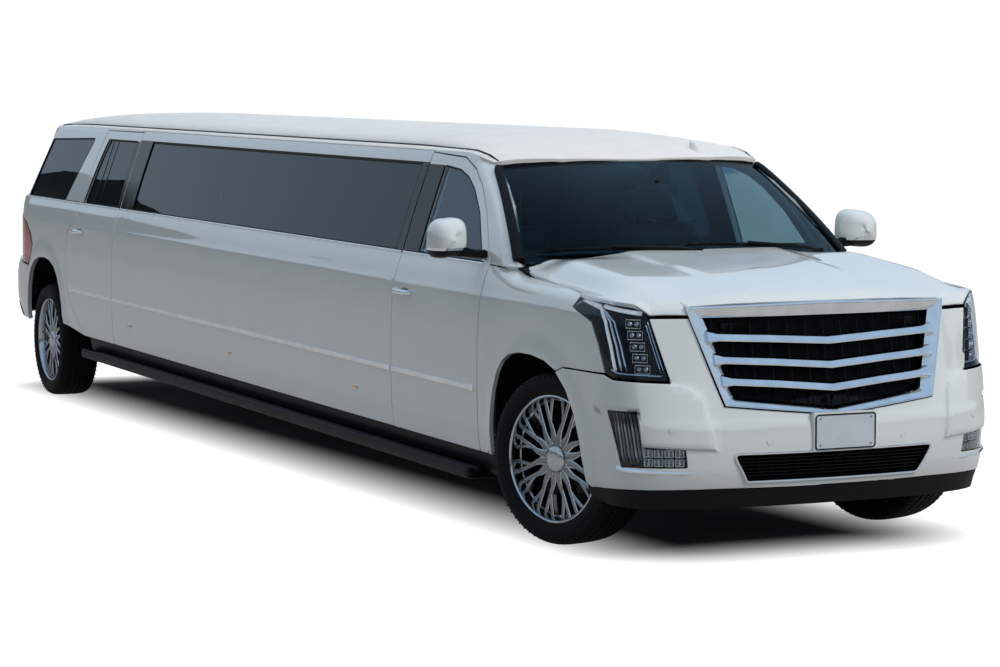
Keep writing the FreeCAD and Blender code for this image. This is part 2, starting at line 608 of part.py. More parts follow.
# bulkhead, cowl and the inner wing aprons
bulkhead = box(-(half - 122), half - 122, 590, 640, floorTopZ, 1180)
cowlPlan = [(0, 275), (500, 345), (half - 142, 520), (half - 142, 640), (0, 640)]
cowl = prism(cowlPlan + [(-x, y) for x, y in reversed(cowlPlan[1:-1])], "z", 1180, beltZ + 4)
doorWay = sidePrism(grow(frontDoor, doorGap))
bulkhead = trimmed(joined([bulkhead, cowl]), [wing, mirrored(wing), upper, mirrored(upper), screen,
                                              linerFront,
                                              mirrored(linerFront), doorWay, mirrored(doorWay)])
bulkhead = largest(bulkhead)
keep("bulkhead", [bulkhead])
apron = trimmed(box(linerInnerX - 20, linerInnerX, -760, 560, 480, 1150), [linerFront])
radiator = box(-500, 500, -800, -740, 420, 1080)
# rubber stops that the bonnet rests on
stopY = -770.0
stopTop = 1192 + (stopY - 18 + 900) * 36.0 / 200 - hoodThickness - seatGap
stops = [rod((sx * 300, stopY, 1070), (sx * 300, stopY, stopTop), 18) for sx in (-1, 1)]
brace = box(railOffset, linerInnerX, -700, 560, 480, railTopZ)
bay = joined([apron, mirrored(apron), radiator, brace, mirrored(brace)] + stops)
bay = trimmed(bay, [frame, bulkhead, floor])
keep("radiator_and_aprons", [bay])
engine = trimmed(joined([box(-330, 330, -560, 220, 480, 1010), box(-190, 190, 220, 1150, 400, 529)]),
                 [frame, bulkhead, floor])
keep("engine_block", [largest(engine)])

# running boards on hangers under the rails
boardTopZ = boardLowZ + boardThickness
boardFront, boardRear = 760.0, 7400.0 + aft
board = [box(half - 142, half + 23, boardFront, boardRear, boardLowZ, boardTopZ),
         prism([(half - 12, boardTopZ), (half + 23, boardTopZ), (half + 8, boardTopZ + 35),
                (half - 12, boardTopZ + 40)],
               "y", boardFront, boardRear)]
for y in hangerYs:
    board.append(box(railOffset, half - 37, y - 30, y + 30, boardTopZ, boardTopZ + 50))
    board.append(box(railOffset, railOffset + railWidth / 2, y - 30, y + 30, boardTopZ, railLowZ))
keep("running_boards", both([joined(board)]))

# fuel tank and exhaust hang from the cross-members
tankHalf = railOffset - railWidth / 2 - 5
tank = trimmed(box(-tankHalf, tankHalf, 6780 + aft, 7660 + aft, 290, railTopZ - 120), [frame])
keep("fuel_tank", [largest(tank)])
silencerY = 3900 + aft * 0.5
exhaustParts = [rod((250, 1200, 330), (250, 6690 + aft, 330), 38),
                rod((250, silencerY, 330), (250, silencerY + 800, 330), 95)]
exhaustParts += [box(225, 275, y - 25, y + 25, 360, railTopZ - 120) for y in crossYs[3:7]]
keep("exhaust", [trimmed(joined(exhaustParts), [frame, tank])])

# driver's controls
dash = prism([(650, 880), (650, 1175), (760, 1210), (900, 1200), (960, 1120), (930, 940), (820, 860)], "x",
             -(half - 182), half - 182)
console = box(-150, 150, 640, 1500, floorTopZ, 900)
wheelAxis = Vector(0, 0.9207, 0.3903)
wheelAt = Vector(400, 1105, 1126)
bossHalf = 17.0
columnEnd = wheelAt - wheelAxis * (bossHalf + seatGap)
column = rod((400, 900, 1039), tuple(columnEnd), 34)
dashboard = trimmed(joined([dash, console, column]), [bulkhead])
keep("dashboard", [largest(dashboard)])
rimMiddle = steeringWheelRadius - steeringRimRadius
ring = Part.makeTorus(rimMiddle, steeringRimRadius, wheelAt, wheelAxis)
boss = Part.makeCylinder(46, bossHalf * 2, wheelAt - wheelAxis * bossHalf, wheelAxis)
arms = [rod(tuple(wheelAt), tuple(wheelAt + Vector(dx, dy, dz) * rimMiddle), 12)
        for dx, dy, dz in ((-1, 0, 0), (1, 0, 0), (0, 0.3903, -0.9207))]
keep("steering_wheel", [joined([ring, boss] + arms)])

# seats, bench, cabinet and partition
seatInner = 165.0
seatOuter = half - 322.0
cushion = box(seatInner, seatOuter, 1190, 1690, floorTopZ, seatCushionTopZ)
back = prism([(1560, seatCushionTopZ), (1690, seatCushionTopZ), (1810, 1560), (1700, 1560)], "x",
             seatInner, seatOuter)
keep("front_seats", both([joined([cushion, back])]))
partitionY = 2100.0
partitionHalf = [(0, floorTopZ), (half - 182, floorTopZ), (half - 182, beltZ), (half - 277, 1700),
                 (half - 422, roofTopZ - 80), (0, roofTopZ - 80)]
partition = trimmed(acrossPrism(partitionHalf, partitionY, partitionY + 50),
                    [upper, mirrored(upper), longPane, mirrored(longPane), stretchWall,
                     mirrored(stretchWall),
                     roofSolid])
keep("partition", [largest(partition)])
benchY0, benchY1 = partitionY + 300, 6500 + aft
bench = joined([box(330, half - 172, benchY0, benchY1, floorTopZ, benchTopZ),
                box(half - 322, half - 172, benchY0, benchY1, benchTopZ, 1240)])
keep("side_bench", [trimmed(bench, [stretchWall])])
keep("bar_cabinet", [box(-(half - 172), -(half - 542), benchY0 + 200, benchY1 - 200, floorTopZ, 1150)])
rearSeatHalf = linerInnerX - 10
rearSeat = joined([box(-(half - 322), half - 322, 7450 + aft, 7800 + aft, floorTopZ, 960),
                   box(-rearSeatHalf, rearSeatHalf, 7800 + aft, 8200 + aft, floorTopZ, 960),
                   prism(aftward([(8060, 960), (8200, 960), (8340, 1560), (8230, 1560)]), "x",
                         -rearSeatHalf,
                         rearSeatHalf)])
keep("rear_seat", [rearSeat])


# licence plate carriers stand upright; their four holes take a plate
def plateCarrier(yFace, direction, centreZ, depth, tools):
    y0, y1 = sorted((yFace, yFace + depth * direction))
    block = trimmed(box(-plateWidth / 2, plateWidth / 2, y0, y1, centreZ - plateHeight / 2,
                        centreZ + plateHeight / 2), tools)
    for sx in (-1, 1):
        for sz in (-1, 1):
            at = Vector(sx * plateHoleX / 2, yFace - direction, centreZ + sz * plateHoleZ / 2)
            block = block.cut(Part.makeCylinder(plateHoleRadius, 12, at, Vector(0, direction, 0)))
    return largest(block)


keep("front_plate", [plateCarrier(-1016.0, 1, 572.0, 30, nodes["front_bumper"] + nodes["grille"])],
     level=False)
rearPlateY = 9700.0 + aft
rearPlateZ = 1095.0 + rearPlateY * math.sin(math.radians(bodyRakeDeg))
keep("rear_plate", [plateCarrier(rearPlateY, -1, rearPlateZ, 45,
                                 nodes["liftgate"] + nodes["liftgate_glass"])],
     level=False)


# running gear, on level ground
kingpinX = frontAxleX - kingpinInset


def steered(shape, side):
    # a piece of a front wheel turned about its kingpin
    shape.rotate(Vector(kingpinX * side, 0, 0), Vector(0, 0, 1), steerRest)
    return shape


def wheelPair(name, y, side):
    w, c, r = tyreWidth / 2.0, tyreCrownWidth / 2.0, tyreRadius
    bead = rimWidth / 2.0 - flangeThickness
    profile = [(bead, beadRadius), (bead, flangeRadius + 1), (w - 4, flangeRadius + 22), (w, r - 54),
               (w - 9, r - 22),
               (c, r - 5), (c - 30, r)]
    inside = [(bead - 16, beadRadius), (bead - 8, r - 74), (c - 6, r - 24)]
    loop = profile + [(-a, b) for a, b in reversed(profile)] + [(-a, b) for a, b in inside] + inside[::-1]
    wire = Part.makePolygon([Vector(a, 0, b) for a, b in loop + [loop[0]]])
    tyre = Part.Face(wire).revolve(Vector(0, 0, 0), Vector(1, 0, 0), 360)
    edge = rimWidth / 2.0
    outer = [(bead, beadRadius), (bead, flangeRadius), (edge, flangeRadius), (edge, rimBarrelInner + 6),
             (edge - 14, rimBarrelInner)]
    loop = outer + [(-a, b) for a, b in reversed(outer)]
    wire = Part.makePolygon([Vector(a, 0, b) for a, b in loop + [loop[0]]])
    rim = Part.Face(wire).revolve(Vector(0, 0, 0), Vector(1, 0, 0), 360)
    face = edge - 10
    hubBack = edge - hubFaceDepth
    pieces = [rim, Part.makeCylinder(hubRadius, face - hubBack - 2, Vector(hubBack, 0, 0), Vector(1, 0, 0))]
    for k in range(spokePairs):
        for s in (-1, 1):
            spoke = prism([(-9 + s * 13, 60), (9 + s * 13, 60), (9 + s * 30, rimBarrelInner + 8),
                           (-9 + s * 30, rimBarrelInner + 8)], "x", face - 48, face - 6)
            spoke.rotate(Vector(0, 0, 0), Vector(1, 0, 0), 360.0 * k / spokePairs)
            pieces.append(spoke)
    for piece, shape in (("rim_", joined(pieces)), ("tyre_", tyre)):
        moved = mirrored(shape) if side < 0 else shape.copy()
        moved.translate(Vector(frontAxleX * side, y, tyreRadius))
        keep(piece + name, [steered(moved, side) if y == 0.0 else moved], level=False)


for name, y, side in (("front_left", 0.0, 1), ("front_right", 0.0, -1),
                      ("rear_left", wheelbase, 1), ("rear_right", wheelbase, -1)):
    wheelPair(name, y, side)


wheelMountX = frontAxleX + rimWidth / 2.0 - hubFaceDepth


def hubParts(y, caliperY, inner):
    # disc, hat, stub and caliper on the left side
    x0 = frontAxleX - hubFaceSetback
    along = Vector(1, 0, 0)
    c0, c1 = sorted((caliperY * 0.58, caliperY))
    b0, b1 = sorted((0, caliperY * 0.75))
    return [Part.makeCylinder(discRadius, discThickness, Vector(x0, y, tyreRadius), along),
            Part.makeCylinder(70, wheelMountX - seatGap - x0, Vector(x0, y, tyreRadius), along),
            Part.makeCylinder(54, x0 - inner + 10, Vector(inner, y, tyreRadius), along),
            box(frontAxleX - 70, frontAxleX + 6, y + c0, y + c1, tyreRadius - 92, tyreRadius + 92),
            box(inner, frontAxleX - 60, y + b0, y + b1, tyreRadius - 30, tyreRadius + 30)]


uprightLow, uprightHigh = tyreRadius - 115, tyreRadius + 175
upright = box(kingpinX - 30, kingpinX + 30, -45, 45, uprightLow, uprightHigh)
knuckle = joined(hubParts(0.0, -205.0, kingpinX - 5) + [upright])
for side, flip in sides:
    turned = steered(mirrored(knuckle), -1) if flip else steered(knuckle.copy(), 1)
    keep("knuckle_" + side, [turned], level=False)

# the arms pass under and over the upright, which turns between their ends
armEnd = kingpinX + 22
lowerArm = prism([(railOffset, -260), (railOffset + 40, -260), (armEnd, -30), (armEnd, 30),
                  (railOffset + 40, 260),
                  (railOffset, 260)], "z", uprightLow - seatGap - 34, uprightLow - seatGap)
armMount = box(railOffset - 40, railOffset + 40, -270, 270, 252, 420)
upperArm = box(railOffset + 30, armEnd, -28, 28, uprightHigh + seatGap, uprightHigh + seatGap + 25)
tower = box(railOffset - 30, railOffset + 40, -110, 110, 500, uprightHigh + 40)
armHalf = joined([lowerArm, armMount, tower, upperArm])
subframe = joined([armHalf, mirrored(armHalf), box(-railOffset, railOffset, -60, 60, 270, 340)])
subframe = trimmed(subframe, nodes["chassis_frame"] + nodes["radiator_and_aprons"] + nodes["engine_block"]
                   + nodes["arch_liners"])
keep("front_suspension", [s for s in subframe.Solids if s.Volume > 2.0e5], level=False)

rearHalf = joined(hubParts(wheelbase, 205.0, frontAxleX - 112))
axle = [rod((-(frontAxleX - 110), wheelbase, tyreRadius), (frontAxleX - 110, wheelbase, tyreRadius), 48),
        Part.makeSphere(158, Vector(0, wheelbase, tyreRadius), Vector(1, 0, 0)), rearHalf,
        mirrored(rearHalf)]
for sx in (-1, 1):
    axle.append(rod((sx * railOffset, wheelbase, tyreRadius), (sx * railOffset, wheelbase, 640), 58))
    x0, x1 = sorted((sx * (railOffset - 35), sx * (railOffset + 35)))
    axle.append(box(x0, x1, wheelbase - 820, wheelbase + 10, 395, 440))
    axle.append(box(x0, x1, wheelbase - 840, wheelbase - 760, 395, 560))
rearAxle = trimmed(joined(axle), nodes["chassis_frame"] + nodes["floor_pan"] + nodes["fuel_tank"])
keep("rear_axle", [largest(rearAxle)], level=False)
shaft = rod((0, 1150, 470), (0, wheelbase - 150, 480), 40)
shaft = trimmed(shaft, nodes["chassis_frame"] + nodes["floor_pan"] + nodes["engine_block"]
                + nodes["rear_axle"]
                + nodes["fuel_tank"] + nodes["exhaust"])
keep("propshaft", [s for s in shaft.Solids if s.Volume > 5.0e4], level=False)

# the origin goes to the middle of the length, then every node has its file
boxes = [s.optimalBoundingBox() for name in ("front_plate", "front_bumper", "rear_bumper")
         for s in nodes[name]]
originY = (min(b.YMin for b in boxes) + max(b.YMax for b in boxes)) / 2.0
for name, solids in nodes.items():
    placed = []
    for solid in solids:
        solid = solid.copy()
        solid.translate(Vector(0, -originY, 0))
        placed.append(solid)
    shape = placed[0] if len(placed) == 1 else Part.makeCompound(placed)
    shape.exportStep("parts/" + name + ".step")
print("nodes", len(nodes), "solids", sum(len(v) for v in nodes.values()), "origin", round(originY, 3))
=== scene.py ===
import bpy, bmesh, json, math
import numpy as np
from mathutils import Matrix, Vector
from mathutils.geometry import delaunay_2d_cdt

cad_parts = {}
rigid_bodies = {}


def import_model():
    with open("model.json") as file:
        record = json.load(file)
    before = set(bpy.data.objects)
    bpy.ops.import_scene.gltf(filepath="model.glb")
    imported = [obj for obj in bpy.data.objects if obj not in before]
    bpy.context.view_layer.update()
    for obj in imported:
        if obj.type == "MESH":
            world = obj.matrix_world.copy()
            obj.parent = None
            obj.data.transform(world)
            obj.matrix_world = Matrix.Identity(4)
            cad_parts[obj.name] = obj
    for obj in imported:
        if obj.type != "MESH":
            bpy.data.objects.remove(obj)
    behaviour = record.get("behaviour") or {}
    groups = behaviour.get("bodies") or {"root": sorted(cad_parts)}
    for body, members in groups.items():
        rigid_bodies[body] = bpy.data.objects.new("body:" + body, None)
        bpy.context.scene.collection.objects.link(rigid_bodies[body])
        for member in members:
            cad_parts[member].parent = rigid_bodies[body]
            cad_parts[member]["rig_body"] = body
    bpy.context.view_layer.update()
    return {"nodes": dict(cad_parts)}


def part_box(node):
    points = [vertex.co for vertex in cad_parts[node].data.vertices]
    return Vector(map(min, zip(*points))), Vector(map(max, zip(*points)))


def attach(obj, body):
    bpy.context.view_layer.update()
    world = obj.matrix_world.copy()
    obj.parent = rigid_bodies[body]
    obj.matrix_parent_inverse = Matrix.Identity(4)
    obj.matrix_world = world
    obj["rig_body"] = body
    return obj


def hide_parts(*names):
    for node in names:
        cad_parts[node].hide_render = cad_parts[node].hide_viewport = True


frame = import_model()
print("frame loaded")

# Lengths are metres. The body is drawn level, with y = 0 at the front axle, and is then raked nose-down
# about the front axle, as the vehicle stands.
body = {"half": 1.022, "belt": 1.258, "rake": math.radians(1.07), "pivot": .4, "drawnWheelbase": 8.382}
tyreLow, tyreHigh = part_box("tyre_front_left")
otherLow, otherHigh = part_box("tyre_front_right")
rearLow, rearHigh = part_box("tyre_rear_left")
axleY = (tyreLow.y + tyreHigh.y + otherLow.y + otherHigh.y) / 4
wheelbase = (rearLow.y + rearHigh.y) / 2 - axleY
aft = wheelbase - body["drawnWheelbase"]  # what lies behind the front doors keeps its place from the rear axle
toWorld = (Matrix.Translation((0, axleY, body["pivot"])) @ Matrix.Rotation(body["rake"], 4, "X")
           @ Matrix.Translation((0, 0, -body["pivot"])))
ground = Matrix.Translation((0, axleY, 0))  # for what stands on the road, not on the raked body
half = body["half"]


# ---- colours and materials
def hexColour(text):
    values = [int(text[i:i + 2], 16) / 255 for i in (0, 2, 4)]
    return tuple(v / 12.92 if v <= .04045 else ((v + .055) / 1.055) ** 2.4 for v in values) + (1.0,)


def addNode(tree, kind, settings=None, links=None):
    node = tree.nodes.new(kind)
    for key, value in (settings or {}).items():
        if key in node.inputs:
            node.inputs[key].default_value = value
        else:
            setattr(node, key, value)
    for key, source in (links or {}).items():
        tree.links.new(source, node.inputs[key])
    return node


def newMaterial(name, surface):
    made = bpy.data.materials.new(name)
    made.use_nodes = True
    shader = made.node_tree.nodes["Principled BSDF"]
    for key, value in surface.items():
        shader.inputs[key].default_value = value
    return made, made.node_tree, shader


def noiseAt(tree, millimetres, detail):
    # noise in object coordinates, with pattern cells this wide
    coords = addNode(tree, "ShaderNodeTexCoord")
    scaled = addNode(tree, "ShaderNodeMapping", {"Scale": (1000 / millimetres,) * 3},
                     {"Vector": coords.outputs["Object"]})
    return addNode(tree, "ShaderNodeTexNoise", {"Scale": 1.0, "Detail": detail}, {"Vector": scaled.outputs["Vector"]})


def relief(tree, shader, noise, strength, distance):
    bump = addNode(tree, "ShaderNodeBump", {"Strength": strength, "Distance": distance},
                   {"Height": noise.outputs["Fac"]})
    tree.links.new(bump.outputs["Normal"], shader.inputs["Normal"])


def mottled(name, surface, low, high, cell, bump=0.0, grain=0.0, rough=None):
    # a finish whose colour, gloss and relief wander with one noise; cell and grain are millimetres
    made, tree, shader = newMaterial(name, surface)
    noise = noiseAt(tree, cell, 3.0)
    ramp = addNode(tree, "ShaderNodeValToRGB", {}, {"Fac": noise.outputs["Fac"]})
    for stop, place, text in zip(ramp.color_ramp.elements, (.3, .7), (low, high)):
        stop.position, stop.color = place, hexColour(text)
    tree.links.new(ramp.outputs["Color"], shader.inputs["Base Color"])
    if rough:
        spread = addNode(tree, "ShaderNodeMapRange", {"To Min": rough[0], "To Max": rough[1]},
                         {"Value": noise.outputs["Fac"]})
        tree.links.new(spread.outputs["Result"], shader.inputs["Roughness"])
    if bump:
        relief(tree, shader, noiseAt(tree, grain, 2.0), bump, grain / 1000 * .3)
    return made


def metal(rough, amount=1.0):
    return {"Metallic": amount, "Roughness": rough}


def dark(rough, shine):
    return {"Roughness": rough, "Specular IOR Level": shine}


# pearl basecoat under clear lacquer: a cool white that darkens to grey-blue where it turns away
pearlPaint = mottled("pearlLacquer", {"Roughness": .30, "Coat Weight": 1.0, "Coat Roughness": .02, "Coat IOR": 1.75},
                     "D9E1E2", "E0E6E6", 420, .05, 2.2)
roofSkin = mottled("whiteVinylRoof", {"Roughness": .55, "IOR": 1.5}, "E4E4E1", "EBEBE8", 160, .35, 1.4)
# chromed ABS trim: mirror bright with faint haze
chromeTrim = mottled("chromedTrim", metal(.08), "D6D9DC", "E6E8EA", 90, rough=(.05, .11))
satinTrim = mottled("satinTrim", metal(.3), "8E9296", "A4A8AB", 60, rough=(.24, .34))
# moulded black plastic: fine leather grain that breaks up the shine
blackPlastic = mottled("mouldedPlastic", dark(.48, .14), "08090A", "0F1011", 45, .5, 1.0, (.40, .58))
glossBlack = mottled("pianoBlack", dark(.08, .22), "060708", "0A0B0C", 150, rough=(.05, .12))
# butyl rubber: dull, slightly brown black with mould grain
tyreRubber = mottled("tyreRubber", dark(.72, .16), "0B0B0C", "131212", 26, .55, 1.6, (.62, .82))
# cast and lacquered alloy: grey silver with soft cloudy gloss
castAlloy = mottled("castAlloy", metal(.25), "76797C", "8E9194", 38, .12, .8, (.17, .3))
machinedAlloy = mottled("machinedAlloy", metal(.16), "A8ACAF", "BDC0C3", 12, .04, .5, (.1, .2))
chassisPaint = mottled("chassisPaint", dark(.55, .2), "0E0F10", "1A1A1A", 70, .3, 2.5, (.42, .7))
castIron = mottled("castIron", metal(.5, .8), "3B3937", "57534E", 18, .4, 1.8, (.38, .6))
steelPipe = mottled("steelPipe", metal(.35), "6E6A64", "8A8680", 55, .2, 2.0, (.28, .46))
engineCast = mottled("engineCasting", metal(.5, .7), "54565A", "6B6E72", 22, .5, 2.0, (.4, .6))
carpet = mottled("tuftedCarpet", {"Roughness": .95, "Sheen Weight": .3, "Sheen Roughness": .6}, "15161A", "24262B",
                 7, 1.0, 3.0)
leather = mottled("grainedLeather", dark(.45, .35), "141416", "1E1E21", 30, .6, 2.4, (.36, .52))
dashPlastic = mottled("dashPlastic", dark(.6, .2), "101113", "191A1D", 30, .5, 1.2, (.5, .68))
lacquerWood = mottled("lacqueredWood", {"Roughness": .18, "IOR": 1.5, "Coat Weight": .6}, "1B100A", "3A2214", 120,
                      rough=(.12, .22))
headLining = mottled("headLining", {"Roughness": .95}, "3A3B3E", "45464A", 5, .5, 1.5)
plateMetal = mottled("blankPlate", {"Roughness": .35, "IOR": 1.5}, "C3CEDA", "CAD4DF", 80, .1, 2.0)
frit = mottled("ceramicFrit", dark(.22, .15), "05070B", "090C11", 60, rough=(.16, .28))
mesh = mottled("meshPlastic", dark(.42, .2), "070808", "0E0F0F", 30, .4, .8, (.36, .5))
ledWhite = mottled("lightGuide", {"Roughness": .12, "IOR": 1.49, "Emission Strength": .25,
                                  "Emission Color": (1, 1, 1, 1)}, "DDE2E6", "F0F3F5", 40)
mirrorGlass = mottled("silveredGlass", metal(.02), "C3CBD1", "CDD4D9", 200)
metalHousing = mottled("lampHousing", dark(.2, .1), "07090C", "0B0E12", 90, rough=(.14, .26))


def glassMaterial(name, tint, rough=.0, ior=1.45, paintedReflectionTint="FFFFFF"):
    # float glass or moulded lens; a faint roller wave bends what it mirrors. The specular tint paints its colour onto
    # everything the glass mirrors, a painted reflection colour; white leaves the reflections as they are
    made, tree, shader = newMaterial(name, {"Base Color": hexColour(tint), "Transmission Weight": 1.0,
                                            "Roughness": rough, "IOR": ior, "Specular Tint": hexColour(paintedReflectionTint)})
    relief(tree, shader, noiseAt(tree, 700, 1.0), .06, .004)
    return made


# painted reflection: side, door and screen glass tint all they mirror blue, standing in for the colour of the sky
sideTint = glassMaterial("smokedGlass", "222C38", ior=1.34, paintedReflectionTint="6FA0D8")
frontTint = glassMaterial("doorGlass", "B0B6BA", ior=1.42, paintedReflectionTint="8FB4DC")
screenTint = glassMaterial("laminatedGlass", "80A8B2", ior=1.17, paintedReflectionTint="1E62B8")
lensClear = glassMaterial("polycarbonateLens", "D4DADF", ior=1.24)
lensSmoke = glassMaterial("smokedLens", "B4505A", ior=1.42)
lensRed = glassMaterial("redLens", "A01018", .05, 1.5)
amberLens = glassMaterial("amberLens", "C47A1C", .05, 1.5)

# the frame's slot of each finish
slotOf = {"pearl_white_paint": [pearlPaint], "white_roof_skin": [roofSkin], "chromed_trim": [chromeTrim, metalHousing],
          "moulded_black_plastic": [blackPlastic, glossBlack, frit, mesh], "tyre_rubber": [tyreRubber],
          "cast_alloy_wheel": [castAlloy], "tinted_side_glass": [sideTint, frontTint], "lamp_lens": [lensClear],
          "laminated_screen_glass": [screenTint], "red_lamp_lens": [lensRed, lensSmoke],
          "blank_plate_metal": [plateMetal], "black_leather": [leather], "dashboard_plastic": [dashPlastic],
          "carpeted_floor": [carpet]}
slotOf = {made.name: slot for slot, group in slotOf.items() for made in group}
# the carried-over nodes that stay in sight get the finish of what they are
finishes = {blackPlastic: ("arch_liners", "fuel_tank", "radiator_and_aprons"), lacquerWood: ("bar_cabinet",),
            chassisPaint: ("bulkhead", "chassis_frame"), dashPlastic: ("dashboard", "partition"),
            engineCast: ("engine_block",), steelPipe: ("exhaust", "propshaft"), carpet: ("floor_pan",),
            castIron: ("front_suspension", "knuckle_left", "knuckle_right", "rear_axle"), leather: ("steering_wheel",)}
for finish, names in finishes.items():
    for name in names:
        slots = frame["nodes"][name].data.materials
        if not slots:
            slots.append(finish)
        for k in range(len(slots)):
            slots[k] = finish
print("materials made")


# ---- curves and surfaces
def curveThrough(table):
    # smooth curve through rows of (t, value...), with level tangents only where the rows turn
    rows = np.array(table, float)
    rows = rows[np.argsort(rows[:, 0])]
    t, v = rows[:, 0], rows[:, 1:]
    slope = np.diff(v, axis=0) / np.diff(t)[:, None]
    tangent = np.empty_like(v)
    tangent[0], tangent[-1] = slope[0], slope[-1]
    a, b = slope[:-1], slope[1:]
    tangent[1:-1] = np.where(a * b > 0, 2 * a * b / np.where(a + b == 0, 1, a + b), 0)

    def at(x):
        x = np.clip(np.asarray(x, float), t[0], t[-1])
        k = np.clip(np.searchsorted(t, x) - 1, 0, len(t) - 2)
        h = (t[k + 1] - t[k])
        u = ((x - t[k]) / h)[..., None]
        h = h[..., None]
        out = ((1 + 2 * u) * (1 - u) ** 2 * v[k] + u * (1 - u) ** 2 * h * tangent[k]
               + u * u * (3 - 2 * u) * v[k + 1] + u * u * (u - 1) * h * tangent[k + 1])
        return out[..., 0] if out.shape[-1] == 1 else out
    return at


def curveAlong(points):
    # the same, measured by the length along the points; also gives the lengths
    run = [0.0]
    for a, b in zip(points, points[1:]):
        run.append(run[-1] + math.dist(a, b))
    return curveThrough([(s,) + p for s, p in zip(run, points)]), run


def smooth(x, low, high):
    u = np.clip((np.asarray(x, float) - low) / (high - low), 0, 1)
    return u * u * (3 - 2 * u)


def unit(v):
    return v / np.maximum(np.linalg.norm(v, axis=-1, keepdims=True), 1e-12)


# inset of the lower body from its widest line at each height, with a crease under the shoulder
sideInset = curveThrough([(.30, .050), (.352, .020), (.42, .0105), (.47, .0045), (.56, .002), (.70, 0), (.88, .0005),
                          (1.00, .006), (1.09, .0135), (1.115, .018), (1.135, .0245), (1.20, .0425), (1.258, .067)])
cabinInset = curveThrough([(1.20, .0505), (1.258, .067), (1.375, .103), (1.492, .141), (1.60, .1785), (1.713, .2195),
                           (1.783, .2475), (1.80, .266)])
tailInset = curveThrough([(8.2, 0), (8.7, .001), (8.93, .008), (9.075, .030), (9.19, .060), (9.305, .105),
                          (9.43, .170), (9.545, .262), (9.60, .330)])


def flare(y, z, centre):
    # swelling of the wing around a wheel opening
    away = np.hypot(y - centre - .03, (z - .40) * 1.02) - .495
    return .012 * (1 - smooth(away, .0, .11))


def sideSurface(yz, out=0.0):
    # left wall of the lower body behind the front doors
    y, z = yz[:, 0], yz[:, 1]
    inset = np.sqrt(sideInset(z) ** 2 + tailInset(y - aft) ** 2)
    return np.stack([half - inset + flare(y, z, wheelbase) + out, y, z], 1)


def cabinSurface(yz, out=0.0):
    y, z = yz[:, 0], yz[:, 1]
    return np.stack([half - cabinInset(z) + out, y, z], 1)


def wallSurface(yz, out=0.0):
    # door or pillar that crosses the belt line
    return np.where((yz[:, 1] > body["belt"])[:, None], cabinSurface(yz, out), sideSurface(yz, out))


def on(surface, a, b, out=0.0):
    return tuple(surface(np.array([[a, b]]), out)[0])


# ---- outlines
def along(path, step, closed=False):
    # extra points between the given ones, no further apart than the step
    path, out = list(path) + list(path[:1] if closed else ()), []
    for a, b in zip(path, path[1:]):
        n = max(1, int(math.ceil(math.dist(a, b) / step)))
        out += [tuple(a[i] + (b[i] - a[i]) * k / n for i in range(len(a))) for k in range(n)]
    return out if closed else out + [tuple(path[-1])]


def rounded(loop, radius, steps=4):
    # outline with its corners turned into arcs
    out = []
    for i in range(len(loop)):
        a, b, c = Vector(loop[i - 1]), Vector(loop[i]), Vector(loop[(i + 1) % len(loop)])
        u, v = (a - b), (c - b)
        angle = u.angle(v, math.pi)
        if angle > math.radians(172):
            out.append(tuple(b))
            continue
        reach = min(radius / math.tan(angle / 2), u.length * .45, v.length * .45)
        p, q = b + u.normalized() * reach, b + v.normalized() * reach
        out += [tuple(p * (1 - s) ** 2 + b * 2 * s * (1 - s) + q * s * s)
                for s in (k / steps for k in range(steps + 1))]
    return out


def area(loop):
    return sum(a[0] * b[1] - b[0] * a[1] for a, b in zip(loop, loop[1:] + loop[:1])) / 2


def shifted(loop, amount):
    # every side moved outward by the amount
    sign, out = 1 if area(loop) > 0 else -1, []
    for i in range(len(loop)):
        (ax, ay), (bx, by), (cx, cy) = loop[i - 1], loop[i], loop[(i + 1) % len(loop)]
        ux, uy, vx, vy = bx - ax, by - ay, cx - bx, cy - by
        lu, lv = math.hypot(ux, uy) or 1e-9, math.hypot(vx, vy) or 1e-9
        n1, n2 = (sign * uy / lu, -sign * ux / lu), (sign * vy / lv, -sign * vx / lv)
        k = max(.35, 1 + n1[0] * n2[0] + n1[1] * n2[1])
        out.append((bx + amount * (n1[0] + n2[0]) / k, by + amount * (n1[1] + n2[1]) / k))
    return out


def behind(points):
    return [(y + aft, z) for y, z in points]


def mirrored(loop):
    return [(-a, b) for a, b in reversed(loop)]


def bothWays(side):
    # outline drawn on one side from the centre top to the centre bottom, completed on the other
    return list(side) + mirrored([p for p in side if abs(p[0]) > 1e-6])


def box(a, b, low, high):
    return [(a, low), (b, low), (b, high), (a, high)]


def circle(a, b, wide, high=None, n=32):
    high = wide if high is None else high
    return [(a + wide * math.cos(t), b + high * math.sin(t)) for t in np.linspace(0, 2 * math.pi, n, False)]


def inside(points, loops):
    # even-odd test of many points against several loops
    hit = np.zeros(len(points), bool)
    px, py = points[:, 0], points[:, 1]
    for loop in loops:
        for (x0, y0), (x1, y1) in zip(loop, list(loop[1:]) + list(loop[:1])):
            if y0 != y1:
                hit ^= ((y0 > py) != (y1 > py)) & (px < (x1 - x0) * (py - y0) / (y1 - y0) + x0)
    return hit


def fromLine(points, line):
    # distance of many points from a line of points
    best = np.full(len(points), 9.0)
    for a, b in zip(line, line[1:]):
        a, b = np.array(a), np.array(b)
        t = np.clip(((points - a) @ (b - a)) / ((b - a) @ (b - a)), 0, 1)
        best = np.minimum(best, np.linalg.norm(points - (a + t[:, None] * (b - a)), axis=1))
    return best


